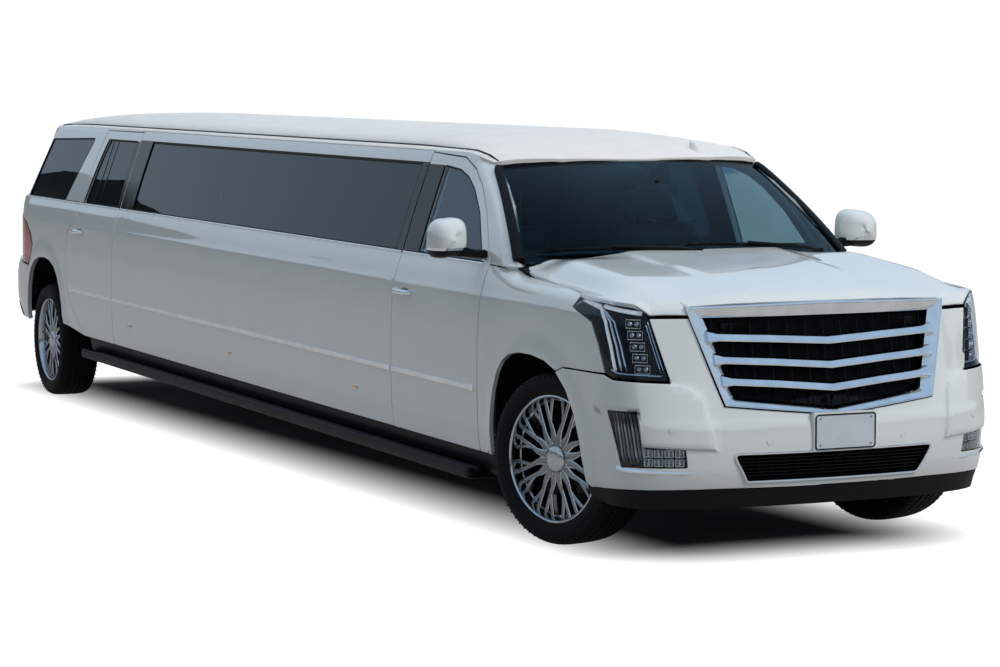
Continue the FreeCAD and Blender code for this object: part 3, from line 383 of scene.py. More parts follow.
# ---- meshes: a part is (vertices, faces, corner normals or None, material index)
def cornerNormals(verts, faces, angle=40):
    # smooth within the angle, sharp beyond it; weighted by face area
    v = np.array(verts, float)
    normal, size, around = [], [], [[] for _ in v]
    for i, f in enumerate(faces):
        p = v[list(f)]
        n = np.cross(p, np.roll(p, -1, 0)).sum(0)
        a = np.linalg.norm(n)
        normal.append(n / a if a > 1e-14 else np.array([0, 0, 1.0]))
        size.append(a)
        for k in f:
            around[k].append(i)
    limit = math.cos(math.radians(angle))
    return [unit(sum(normal[j] * size[j] for j in around[k] if normal[j] @ normal[i] > limit))
            for i, f in enumerate(faces) for k in f]


def meshObject(name, parts, materials, matrix):
    verts, faces, normals, slots = [], [], [], []
    for v, f, n, m in parts:
        faces += [tuple(int(i) + len(verts) for i in face) for face in f]
        verts += [tuple(map(float, p)) for p in v]
        slots += [m] * len(f)
        normals += [tuple(map(float, a)) for a in (cornerNormals(v, f) if n is None else n)]
    data = bpy.data.meshes.new(name)
    data.from_pydata([matrix @ Vector(p) for p in verts], [], faces)
    data.polygons.foreach_set("use_smooth", [True] * len(faces))
    data.polygons.foreach_set("material_index", slots)
    for made in materials:
        data.materials.append(made)
    data.update()
    turn = matrix.to_3x3()
    data.normals_split_custom_set([turn @ Vector(n) for n in normals])
    piece = bpy.data.objects.new(name, data)
    bpy.context.scene.collection.objects.link(piece)
    return piece


def rib(line, offsets=(-.007, -.003, .003, .007), step=.02):
    # points beside a line on both sides
    out = []
    for a, b in zip(line, line[1:]):
        n = max(1, int(math.dist(a, b) / step))
        dx, dy = (b[0] - a[0]) / math.dist(a, b), (b[1] - a[1]) / math.dist(a, b)
        out += [(a[0] + (b[0] - a[0]) * k / n - dy * o, a[1] + (b[1] - a[1]) * k / n + dx * o)
                for k in range(n + 1) for o in offsets]
    return out


def normalsOf(surface, uv, reach=1e-3):
    a, b = [reach, 0], [0, reach]
    return unit(np.cross(surface(uv + a) - surface(uv - a), surface(uv + b) - surface(uv - b)))


def skin(outline, surface, thick, grid=(.06, .03), edge=.004, step=.025, out=0.0, grow=None, corner=0, holes=(),
         back=0, slot=None, flip=False, rows=(), creases=(), plain=False):
    # a sheet cut to an outline on a curved surface, with rolled edges, a rim and a back
    outline = outline if grow is None else shifted(outline, grow)
    outline = rounded(outline, corner) if corner else outline
    shape = (lambda p: surface(p, out)) if out else surface
    loops = [along(loop, step, True) for loop in (outline, *holes)]
    loops = [loop if (area(loop) > 0) == (i == 0) else loop[::-1] for i, loop in enumerate(loops)]
    inner = [shifted(loop, edge if i else -edge) for i, loop in enumerate(loops)]
    ring = np.array([p for loop in inner for p in loop])
    # the field: a grid, extra rows, and points along every crease so that it is modelled sharply
    low, high = ring.min(0), ring.max(0)
    us, vs = [np.linspace(low[i], high[i], max(3, int((high[i] - low[i]) / grid[i]) + 2))[1:-1] for i in (0, 1)]
    vs = np.unique(np.concatenate([vs, [r for r in rows if low[1] < r < high[1]]]))
    field = np.stack([g.ravel() for g in np.meshgrid(us, vs)], 1)
    field = field[inside(field, inner)]
    near = min(grid) * .35
    if creases:
        ribs = np.array([p for line in creases for p in rib(line)])
        field = field[np.array([np.min(np.abs(ribs - p).max(1)) for p in field]) > .008]
        field = np.vstack([field, ribs[inside(ribs, inner)]])
        near = min(near, .006)
    field = field[np.array([np.sqrt(((ring - p) ** 2).sum(1)).min() > near for p in field], bool)]
    edges, base = [], 0
    for loop in inner:
        edges += [(base + i, base + (i + 1) % len(loop)) for i in range(len(loop))]
        base += len(loop)
    solved = delaunay_2d_cdt([Vector(p) for p in ring] + [Vector(p) for p in field], edges, [], 0, 1e-7, True)
    flat = np.array([tuple(p) for p in solved[0]])
    tris = np.array([f for f in solved[2] if len(f) == 3], int)
    tris = tris[inside(flat[tris].mean(1), inner)]
    where = {}  # where the solver kept each loop point
    for new, olds in enumerate(solved[3]):
        for old in olds:
            where.setdefault(old, new)
    side = -1 if flip else 1

    def lay(uv, depth=0.0):
        n = normalsOf(shape, uv) * side
        return shape(uv) - n * np.reshape(depth, (-1, 1)), n

    deep = (lambda uv: np.full(len(uv), thick)) if np.isscalar(thick) else thick
    face, faceN = lay(flat)
    facing = np.cross(flat[tris[:, 1]] - flat[tris[:, 0]], flat[tris[:, 2]] - flat[tris[:, 0]]) * side > 0
    tri = np.where(facing[:, None], tris, tris[:, ::-1])
    rear, _ = lay(flat, deep(flat))
    rearTri = tri[:, ::-1]
    parts = [(face, tri, faceN[tri].reshape(-1, 3), 0), (rear, rearTri, -faceN[rearTri].reshape(-1, 3), back)]
    base = 0
    for loop, rim in zip(inner, map(np.array, loops)):
        n = len(loop)
        idx = np.array([where[base + k] for k in range(n)])
        base += n
        p0, n0 = face[idx], faceN[idx]
        outward = unit(np.cross(unit(np.roll(p0, -1, 0) - np.roll(p0, 1, 0)), n0)) * side
        rolled = [(p0, n0)]
        for angle in (45, 90):
            s, c = math.sin(math.radians(angle)), math.cos(math.radians(angle))
            rolled.append((lay(flat[idx] + (rim - flat[idx]) * s, edge * (1 - c))[0], unit(n0 * c + outward * s)))
        rolled.append((lay(rim, deep(rim))[0], outward))
        bands = [a + b for a, b in zip(rolled, rolled[1:])] + [(rolled[3][0], -n0, rear[idx], -n0)]
        for a, na, b, nb in bands:
            quads, norms = [], []
            for k in range(n):
                m = (k + 1) % n
                quads.append((k, n + k, n + m, m)[::side])
                norms += (na[k], nb[k], nb[m], na[m])[::side]
            parts.append((np.vstack([a, b]), quads, norms, 0))
    # a plain sheet takes its normals from its faces
    return [(v, f, None if plain else n, m if slot is None else slot) for v, f, n, m in parts]


def mirroredParts(parts):
    out = []
    for v, f, n, m in parts:
        if n is not None:
            flipped, k, n = [], 0, np.array(n) * [-1, 1, 1]
            for face in f:
                flipped += list(n[k:k + len(face)][::-1])
                k += len(face)
            n = flipped
        out.append((np.array(v) * [-1, 1, 1], [tuple(face)[::-1] for face in f], n, m))
    return out


def block(low, high, radius=.003, slot=0, turn=None, steps=2):
    # box with rounded edges, turned about its centre
    low, high = Vector(low), Vector(high)
    centre = (low + high) / 2
    made = bmesh.new()
    bmesh.ops.create_cube(made, size=1)
    for v in made.verts:
        v.co = Vector([centre[i] + v.co[i] * (high[i] - low[i]) for i in range(3)])
    if radius:
        bmesh.ops.bevel(made, geom=made.edges[:], offset=min(radius, min(high - low) * .45), segments=steps,
                        profile=.5, affect="EDGES")
    verts, faces = fromBmesh(made)
    return ([centre + turn @ (v - centre) for v in verts] if turn else verts, faces, None, slot)


def fromBmesh(made):
    made.verts.index_update()
    verts, faces = [v.co.copy() for v in made.verts], [tuple(v.index for v in f.verts) for f in made.faces]
    made.free()
    return verts, faces


def turned(profile, centre=(0, 0, 0), axis="X", steps=48, slot=0, start=0.0):
    # rows of (distance along the axis, radius) turned about the axis; rows run so that faces look outward
    verts, m = [], steps
    for d, r in profile:
        for k in range(steps):
            a = math.radians(start + 360.0 * k / steps)
            c, s = r * math.cos(a), r * math.sin(a)
            p = {"X": (d, c, s), "Y": (s, d, c), "Z": (c, s, d)}[axis]
            verts.append(tuple(centre[i] + p[i] for i in range(3)))
    faces = [(i * m + k, i * m + (k + 1) % m, (i + 1) * m + (k + 1) % m, (i + 1) * m + k)
             for i in range(len(profile) - 1) for k in range(m)]
    return (verts, faces, None, slot)


def tube(path, radius, sides=8, slot=0, closed=False, flat=1.0, up=(0, 0, 1)):
    # round or flattened bar along a path, with closed ends
    pts, verts, faces = [Vector(p) for p in path], [], []
    n = len(pts)
    for i, p in enumerate(pts):
        a = pts[(i - 1) % n] if closed or i else p
        b = pts[(i + 1) % n] if closed or i < n - 1 else p
        t = (b - a).normalized()
        side = t.cross(Vector(up))
        if side.length < 1e-6:
            side = t.cross(Vector((1, 0, 0)))
        side.normalize()
        top = side.cross(t)
        for k in range(sides):
            w = 2 * math.pi * k / sides
            verts.append(tuple(p + side * math.cos(w) * radius * flat + top * math.sin(w) * radius))
    for i in range(n if closed else n - 1):
        for k in range(sides):
            m, j = (k + 1) % sides, (i + 1) % n
            faces.append((i * sides + m, j * sides + m, j * sides + k, i * sides + k))
    if not closed:
        faces += [tuple(range(sides)), tuple(reversed([(n - 1) * sides + k for k in range(sides)]))]
    return (verts, faces, None, slot)


def loft(rings, slot=0, capped=True, closed=False, back=False):
    # skin over equal rings of points; back turns its faces the other way
    rings = [ring[::-1] for ring in rings] if back else rings
    n, m = len(rings), len(rings[0])
    faces = [(i * m + k, i * m + (k + 1) % m, (i + 1) % n * m + (k + 1) % m, (i + 1) % n * m + k)
             for i in range(n if closed else n - 1) for k in range(m)]
    if capped and not closed:
        faces += [tuple(reversed(range(m))), tuple((n - 1) * m + k for k in range(m))]
    return ([tuple(p) for ring in rings for p in ring], faces, None, slot)


def bead(surface, path, width, height, slot=0, closed=False, out=0.0, lift=0.0):
    # half-round bead laid on a surface along a path in its own two coordinates
    line = np.array(along(path, .02, closed))
    ahead = np.roll(line, -1, 0) - np.roll(line, 1, 0)
    if not closed:
        ahead[0], ahead[-1] = line[1] - line[0], line[-1] - line[-2]
    ahead = unit(ahead)
    across = np.stack([-ahead[:, 1], ahead[:, 0]], 1)
    shape = lambda p: surface(p, out)
    normal = normalsOf(shape, line)
    section = [(-1, -.6), (-1, .45), (-.6, .9), (0, 1), (.6, .9), (1, .45), (1, -.6)]
    rows = [shape(line + across * width / 2 * a) + normal * (height * b + lift) for a, b in section]
    return loft([[row[i] for row in rows] for i in range(len(line))], slot, closed=closed)


def walls(surface, loop, deep, shallow, slot=0):
    # the walls of a lamp or well, seen from either side
    loop = along(loop, .03, True)
    rings = [[on(surface, a, b, out) for a, b in loop] for out in (deep, shallow)]
    return [loft(rings, slot, False), loft(rings[::-1], slot, False)]


def addPiece(name, parts, materials, rides="body", replaces=(), slot=None):
    piece = meshObject(name, parts, materials, toWorld)
    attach(piece, rides)
    slot or slotOf[materials[0].name]
    if replaces:
        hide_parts(*replaces)
    return piece


def bothSides(name, parts, materials, rides="body", replaces=(), slot=None):
    # SIDE becomes left and right; a node that holds both sides goes with the left piece
    for side, made in (("left", parts), ("right", mirroredParts(parts))):
        nodes = [node.replace("SIDE", side) for node in replaces if side == "left" or "SIDE" in node]
        addPiece(name + "_" + side, made, materials, rides.replace("SIDE", side), nodes, slot)


# ---- lower body sides
stretchEnd = 6.743 + aft
frontDoorOutline = [(.702, .352), (.702, 1.262), (.775, 1.350), (.900, 1.492), (1.050, 1.620), (1.205, 1.705),
                    (1.365, 1.757), (1.793, 1.772), (1.793, .352)]
frontGlassOutline = [(.790, 1.270), (.985, 1.498), (1.130, 1.606), (1.250, 1.664), (1.380, 1.697), (1.590, 1.712),
                     (1.590, 1.270)]
rearDoorOutline = behind([(6.75, .352), (6.75, 1.772), (7.56, 1.772), (7.625, 1.60), (7.70, 1.262), (7.672, 1.165),
                          (7.80, 1.075), (7.838, .990), (7.838, .740), (7.79, .625), (7.70, .530), (7.60, .468),
                          (7.455, .352)])
rearGlassOutline = behind([(6.815, 1.270), (6.815, 1.712), (7.475, 1.712), (7.535, 1.56), (7.612, 1.270)])
longWindowRear = 6.48 + aft
longGlassOutline = [(1.885, 1.270), (1.885, 1.712), (longWindowRear, 1.712), (longWindowRear, 1.270)]
quarterGlassOutline = behind([(8.075, 1.266), (7.800, 1.712), (8.836, 1.686), (9.006, 1.266)])
frontArch = [(-.470, .25), (-.452, .40), (-.425, .53), (-.375, .65), (-.30, .752), (-.20, .826), (-.08, .868),
             (.06, .882), (.20, .880), (.32, .862), (.41, .822), (.47, .760), (.51, .670), (.53, .56), (.54, .40),
             (.545, .25)]
rearArch = [(-.462, .40), (-.445, .53), (-.405, .64), (-.345, .73), (-.26, .795), (-.15, .832), (-.02, .845),
            (.11, .840), (.23, .815), (.325, .765), (.39, .695), (.432, .60), (.455, .48), (.468, .36)]
beltRows = (1.09, 1.102, 1.115, 1.125, 1.135, 1.15, 1.235, 1.25, 1.257, 1.259, 1.27)
trimMats = [pearlPaint, dashPlastic]  # paint outside, trim on everything that faces the cabin


def wallDepth(yz):
    # whole door thickness below the belt, frame thickness above it
    return np.where(yz[:, 1] > 1.262, .040, .105 - .012 * smooth(yz[:, 1], 1.2, 1.262))


for name, outline, glass, tint in (("front", frontDoorOutline, frontGlassOutline, frontTint),
                                   ("rear", rearDoorOutline, rearGlassOutline, sideTint)):
    node = name + "_door_SIDE"
    bothSides(name + "DoorSkin", skin(outline, wallSurface, wallDepth, (.08, .03), .004, .03, grow=.0015, corner=.014,
              holes=[rounded(shifted(glass, -.002), .02)], back=1, rows=beltRows), trimMats, node, [node])
    bothSides(name + "DoorPane", skin(glass, cabinSurface, .005, (.08, .04), .001, out=-.012, grow=.011, corner=.02),
              [tint], node, [name + "_door_glass_SIDE"])
bothSides("stretchPanel", skin([(1.80, .352), (1.80, 1.258), (stretchEnd, 1.258), (stretchEnd, .352)],
                               sideSurface, .10, (.16, .03), .004, .05, grow=.0005, corner=.004, back=1,
                               rows=beltRows), trimMats, replaces=["stretch_panels"])
# quarter panel round the rear wheel, back to the lamp and the bumper
quarterOutline = behind([(7.462, .352), (7.606, .462), (7.706, .525), (7.797, .621), (7.845, .738), (7.845, .992),
                         (7.806, 1.081), (7.682, 1.166), (7.707, 1.258), (9.06, 1.258), (9.41, 1.255),
                         (9.30, 1.178), (9.20, 1.12), (9.058, 1.112), (8.90, 1.075), (8.76, .99), (8.715, .925),
                         (8.74, .84), (8.80, .765), (8.83, .70), (8.845, .64)])
quarterOutline += [(wheelbase + y, z) for y, z in reversed(rearArch)]
bothSides("quarterPanel", skin(quarterOutline, sideSurface, .03, (.05, .03), step=.03, back=1, rows=beltRows),
          trimMats,
          replaces=["quarter_panels"])
print("lower sides made")

# ---- pillars and the rails over the windows
screenEdge = [(.455, 1.262), (.505, 1.302), (.640, 1.432), (.780, 1.546), (.930, 1.642), (1.095, 1.726),
              (1.190, 1.772)]


def pillarSurface(yz):
    # rolls inward to the screen along its front edge
    p = cabinSurface(yz)
    p[:, 0] = np.where(yz[:, 1] < body["belt"], sideSurface(yz)[:, 0], p[:, 0])
    p[:, 0] -= .057 * np.clip(1 - fromLine(yz, screenEdge) / .07, 0, 1) ** 2.2
    return p


pillarOutline = screenEdge + [(1.30, 1.783), (1.789, 1.787), (1.789, 1.779), (1.363, 1.764), (1.201, 1.712),
                              (1.045, 1.626), (.894, 1.497), (.769, 1.354), (.6955, 1.265)]
edgeRows = [[(y + off * .64, z - off * .77) for y, z in screenEdge] for off in (.010, .024, .040, .058)]
bothSides("screenPillar", skin(pillarOutline, pillarSurface, .03, (.03, .025), .003, .015, back=1, creases=edgeRows),
          [pearlPaint, glossBlack], replaces=["window_frames"])
# rail over the long window and the body-coloured pillar behind the rear door
bothSides("windowRail", skin([(1.80, 1.722), (1.80, 1.783), (stretchEnd, 1.783), (stretchEnd, 1.722)], cabinSurface,
                             .03, (.2, .02), .003, .06), [pearlPaint])
rearPillarOutline = behind([(7.707, 1.262), (7.632, 1.602), (7.568, 1.776), (6.76, 1.779), (6.76, 1.787),
                            (8.45, 1.787),
                            (8.80, 1.775), (8.835, 1.73), (9.03, 1.262)])
bothSides("rearPillar", skin(rearPillarOutline, cabinSurface, .03, (.05, .03), .003, .03, back=1,
                             holes=[rounded(shifted(quarterGlassOutline, .004), .03)]), trimMats)
# side glass in the body, flush, with its fired black edge
for name, outline, nodes in (("long", longGlassOutline, ["side_windows"]), ("quarter", quarterGlassOutline, ())):
    bothSides(name + "Window", skin(outline, cabinSurface, .005, (.16, .04), .001, .05, -.006, .002, .03), [sideTint],
              replaces=nodes)
    bothSides(name + "WindowFrit", skin(outline, cabinSurface, .003, (.2, .05), .0005, .05, -.0115, .002, .03,
                                        [rounded(shifted(outline, -.022), .02)]), [frit])
# gloss black pillar caps between the windows
caps = {"capFront": (1.800, 1.884, 1.262, 1.722, "body"),
        "capRear": (longWindowRear + .004, stretchEnd, 1.262, 1.722, "body"),
        "doorCapFront": (1.594, 1.788, 1.268, 1.716, "front_door_SIDE"),
        "doorCapRear": (6.754 + aft, 6.812 + aft, 1.268, 1.716, "rear_door_SIDE")}
for name, (a, b, low, high, rides) in caps.items():
    bothSides(name, skin([(a, low), (a, high), (b, high), (b, low)], cabinSurface, .028 if rides == "body" else .004,
                         (.04, .04), .0015, out=.0015, corner=.004), [glossBlack], rides)
print("pillars and side glass made")


# ---- nose: one surface bent round the plan of the front, measured by its length from the centre and by height
planRows = [(0, -1.0), (.16, -.997), (.33, -.985), (.50, -.962), (.64, -.932), (.75, -.895), (.84, -.846),
            (.905, -.788), (.95, -.715), (.98, -.62), (.998, -.51), (1.01, -.38), (1.018, -.22), (1.022, -.05),
            (1.022, .12), (1.022, .80)]
planAt, planRun = curveAlong(planRows)
lean = curveThrough([(.27, .10), (.36, .035), (.45, .008), (.55, 0), (.62, .004), (.68, .024), (.742, .042),
                     (.834, .068), (1.0, .108), (1.16, .148), (1.25, .175)])
turnStart = float(np.interp(.70, [p[0] for p in planRows[:14]], planRun[:14]))
turnEnd = float(np.interp(-.40, [p[1] for p in planRows], planRun))
podLine = [(.774, .823), (.700, .804), (.655, .778), (.636, .74), (.598, .530), (.928, .548)]
podArea = podLine + [(.94, .70), (1.13, .70), (1.6, .60), (1.6, .9), (.774, .9)]


def bentRound(line, sz, move):
    # points on the plan at |s|, moved along its normal
    s = np.abs(sz[:, 0])
    p, q = line(s), unit(line(s + 1e-3) - line(np.maximum(s - 1e-3, 0)))
    return p, p + np.stack([q[:, 1], -q[:, 0]], 1) * move[:, None]


def noseSurface(sz, out=0.0):
    s, z = np.abs(sz[:, 0]), sz[:, 1]
    g = smooth(s, turnStart, turnEnd)
    plan, p = bentRound(planAt, sz, out - sideInset(z) * g)
    x = p[:, 0] + flare(plan[:, 1], z, 0.0)
    return np.stack([x * np.where(sz[:, 0] < 0, -1, 1), p[:, 1] + lean(z) * (1 - g), z], 1)


def bumperSurface(sz, out=0.0):
    # the nose with a raised pod round each fog lamp
    side = np.stack([np.abs(sz[:, 0]), sz[:, 1]], 1)
    d = fromLine(side, podLine)
    raised = smooth(np.where(inside(side, [podArea]), d, -d), -.008, .008)
    return noseSurface(sz, .013 * raised * (1 - smooth(side[:, 0], 1.05, 1.35)) + out)


archS = [(y + 1.758, z) for y, z in frontArch]
bumperHalf = [(0, .664), (.545, .717), (.664, 1.104), (.846, 1.104), (.772, .822), (1.064, .830), (1.128, .850),
              (1.50, .848), (1.560, .826), (1.458, .752), (1.383, .65), (1.333, .53), (1.306, .40), (1.299, .350),
              (1.27, .330), (1.0, .345), (.538, .353), (0, .351)]
fogHole = [(1.124, .694), (.943, .697), (.925, .541), (.735, .532), (.722, .450), (1.038, .446)]
lowerHole = [(.515, .508), (.44, .385), (-.44, .385), (-.515, .508)]
bumperHoles = [rounded(fogHole, .008), rounded(mirrored(fogHole), .008), rounded(lowerHole, .02)]
addPiece("bumperSkin", skin(bothWays(bumperHalf), bumperSurface, .004, (.045, .03), .003, .02, corner=.006,
         holes=bumperHoles, back=1, creases=[podLine, mirrored(podLine)]), [pearlPaint, blackPlastic],
         replaces=["front_bumper"])
# parking sensors: small painted discs in a fine ring
sensorParts = []
for s, z in ((.794, .621), (.347, .559), (1.213, .542)):
    for s in (s, -s):
        rim = circle(s, z, .016, n=20)
        sensorParts += skin(circle(s, z, .0125, n=20), bumperSurface, .002, (.01, .01), .002, .01)
        sensorParts += skin(rim, bumperSurface, .003, (.01, .01), .001, .01,
                            holes=[[(s + (a - s) * .82, z + (b - z) * .82) for a, b in rim]])
addPiece("parkingSensors", [(v - [0, .0015, 0], f, n, m) for v, f, n, m in sensorParts], [pearlPaint])

# ---- grille: chromed frame, three chevron bars, ribbed mesh behind
frameHalf = [(0, 1.170), (.675, 1.155), (.663, 1.105), (.541, .722), (0, .669)]
openHalf = [(0, 1.107), (.597, 1.106), (.586, 1.074), (.492, .757), (0, .701)]
# rows of (share of the way in, height): a thin outer lip, a step, then broad blades that slope in toward the mesh
frameProfile = [(0, -.03), (0, .009), (.05, .013), (.13, .013), (.17, .009), (.24, .009), (.60, -.002), (1, -.020),
                (1, -.034)]
outer, inner = bothWays(frameHalf), bothWays(openHalf)
counts = [max(1, int(math.dist(p, q) / .02)) for p, q in zip(outer, outer[1:] + outer[:1])]
lines = [np.array([[a[i] + (b[i] - a[i]) * k / n for i in (0, 1)]
                   for a, b, n in zip(loop, loop[1:] + loop[:1], counts) for k in range(n)])
         for loop in (outer, inner)]
rows = [noseSurface(lines[0] * (1 - t) + lines[1] * t, out) for t, out in frameProfile]
addPiece("grilleFrame", [loft([[row[i] for row in rows] for i in range(len(lines[0]))], closed=True)], [chromeTrim],
         replaces=["grille"])
barParts = []
for end, low, drop in ((.588, 1.022, .028), (.566, .923, .036), (.540, .829, .042)):
    # each bar: broad bright face that leans back to its top edge, and a thin lip turned under
    section = [(-.022, .56), (-.006, .50), (.004, .30), (.010, -.24), (.007, -.42), (-.004, -.50), (-.026, -.46)]
    rings = []
    for s, z in along([(-end, low), (-end * .5, low - drop * .42), (0, low - drop), (end * .5, low - drop * .42),
                       (end, low)], .025):
        swell = .036 * (1 + .55 * smooth(abs(s), end - .05, end))  # the ends swell into the side blades
        rings.append([on(noseSurface, s, z + k * swell, out + .002) for out, k in section])
    barParts.append(loft(rings, back=True))
addPiece("grilleBars", barParts, [chromeTrim])
meshParts = []
for z in [.70 + k * .0090 for k in range(46)]:
    wide = np.interp(z, [.757, 1.106], [.492, .597])
    gap = 0 if z > .757 else (.757 - z) / .056 * .492
    for a, b in (((-wide, -gap), (gap, wide)) if gap else ((-wide, wide),)):
        if b - a > .03:
            meshParts.append(tube([on(noseSurface, s, z, -.045) for s in np.linspace(a, b, 15)], .0019, 4, flat=2.2))
for s in [k * .092 for k in range(-6, 7)]:
    low = .757 + (abs(s) - .492) * (.114 if abs(s) < .492 else 3.3)
    meshParts.append(tube([on(noseSurface, s, z, -.037) for z in np.linspace(low, 1.107, 9)], .003, 6))
meshParts += skin(bothWays([(0, 1.13), (.62, 1.13), (.51, .735), (0, .68)]), noseSurface, .004, (.08, .05), .001, .05,
                  -.062, corner=.01, slot=1, plain=True)
addPiece("grilleMesh", meshParts, [mesh, frit])
addPiece("noseCamera", [turned([(-.014, .001), (-.014, .008), (-.010, .0105), (.01, .0115)],
                               on(noseSurface, 0, .742, -.012), "Y", 24)], [glossBlack])
# lower grille: slats, ribs and a fine bright edge
slatParts = []
for z in [.394 + k * .0155 for k in range(8)]:
    wide = np.interp(z, [.385, .508], [.435, .51])
    slatParts.append(loft([[on(noseSurface, s, z + dz, out) for dz, out in
                            ((.004, -.02), (.001, -.008), (-.003, -.009), (-.002, -.03))]
                           for s in np.linspace(-wide, wide, 25)]))
for s in np.linspace(-.45, .45, 15):
    slatParts.append(tube([on(noseSurface, s, z, -.018) for z in (.386, .43, .47, .507)], .0022, 6))
slatParts += skin([(.53, .52), (.45, .375), (-.45, .375), (-.53, .52)], noseSurface, .003, (.08, .05), .001, .05,
                  -.035, corner=.01, slot=1, plain=True)
addPiece("lowerGrille", slatParts, [blackPlastic, frit])
trimParts = [bead(noseSurface, rounded(shifted(lowerHole, .002), .02), .011, .007, closed=True, lift=.002)]
# slim bright fin under each fog lamp: rows of (top, its height, bottom, its height)
finRows = [(1.058, .452, 1.050, .430), (1.02, .444, 1.0, .426), (.90, .440, .88, .424), (.75, .433, .74, .422),
           (.567, .421, .567, .4205)]
for sign in (1, -1):
    rings = []
    for sa, za, sb, zb in finRows:
        fat = .014 * (sa - .55) / .5 + .001
        rings.append([on(noseSurface, sign * a, b, o) for a, b, o in (
            (sa, za, 0), (sa, za, fat * .6), ((sa + sb) / 2, (za + zb) / 2, fat), (sb, zb, fat * .5), (sb, zb, 0))])
    trimParts.append(loft(rings, back=sign > 0))
addPiece("noseTrim", trimParts, [chromeTrim])
# black valance under the bumper
valanceHalf = [(0, .349), (.538, .351), (1.0, .343), (1.27, .328), (1.295, .345), (1.300, .30), (1.25, .270),
               (1.15, .258), (0, .262)]


def valanceSurface(p):
    edge = noseSurface(np.stack([p[:, 0], np.full(len(p), .349)], 1), -.004 - (.35 - p[:, 1]) * .28)
    return np.column_stack([edge[:, :2], p[:, 1]])


addPiece("lowerValance", skin(bothWays(valanceHalf), valanceSurface, .004, (.06, .02), .003, corner=.005),
         [blackPlastic], replaces=["lower_valance"])
# blank plates: pressed sheet in a dark frame on a carrier, four screws
plate = {"wide": .305, "high": .152, "thick": .0025, "frame": .0032, "screwIn": (.022, .016)}


def blankPlate(mid, facing, carrier):
    # facing is -1 for the nose and 1 for the tail
    x, y, z = mid
    w, h = plate["wide"] / 2, plate["high"] / 2
    out = []
    for grow, near, far, radius, slot in ((.012, -carrier, 0, .006, 2), (0, 0, plate["thick"], .001, 0)):
        near, far = sorted((y + facing * near, y + facing * far))
        out.append(block((x - w - grow, near, z - h - grow), (x + w + grow, far, z + h + grow), radius, slot))
    ring = rounded(box(x - w - .001, x + w + .001, z - h - .001, z + h + .001), .014, 5)
    out.append(tube([(a, y + facing * .0035, b) for a, b in ring], plate["frame"], 8, 1, True, up=(0, 1, 0)))
    screw = [(0, .0052), (.0016, .0050), (.0026, .0032), (.0026, .0004)]
    for a in (-1, 1):
        for b in (-1, 1):
            spot = (x + a * (w - plate["screwIn"][0]), y + facing * plate["thick"], z + b * (h - plate["screwIn"][1]))
            out.append(turned([(facing * d, r) for d, r in screw], spot, "Y", 16, 3))
    return out


for node, side, facing, carrier, shift, back in (("front_plate", 0, -1, .030, (.027, .004, .003), pearlPaint),
                                                 ("rear_plate", 1, 1, .02, (0, -.003, 0), blackPlastic)):
    low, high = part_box(node)
    mid = toWorld.inverted() @ Vector(((low.x + high.x) / 2, (low, high)[side].y, (low.z + high.z) / 2))
    addPiece(node.split("_")[0] + "PlateDressed", blankPlate((shift[0], mid.y + shift[1], mid.z + shift[2]), facing,
             carrier), [plateMetal, frit, back, satinTrim], frame["nodes"][node]["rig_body"], [node])
print("nose made")

# ---- lamps in the nose
lampLoop = [(1.403, 1.190), (1.075, 1.175), (.913, 1.163), (.857, 1.120), (.780, .829), (1.063, .838), (1.123, .855),
            (1.184, .984), (1.261, 1.081), (1.457, 1.137)]


def lampModule(at, centre, ahead, low, high, radius, slot, part, spots):
    # a block facing out of the nose, and copies of one part laid on its front
    c = Vector(at(*centre))
    turn = (Vector(at(*ahead, .05)) - Vector(at(*ahead, -.05))).normalized().to_track_quat("-Y", "Z").to_matrix()
    made = [block(c - Vector(low), c + Vector(high), radius, slot, turn)]
    made += [([c + turn @ (Vector(v) + Vector((dx, 0, dz))) for v in part[0]], part[1], None, 2) for dx, dz in spots]
    return c, turn, made


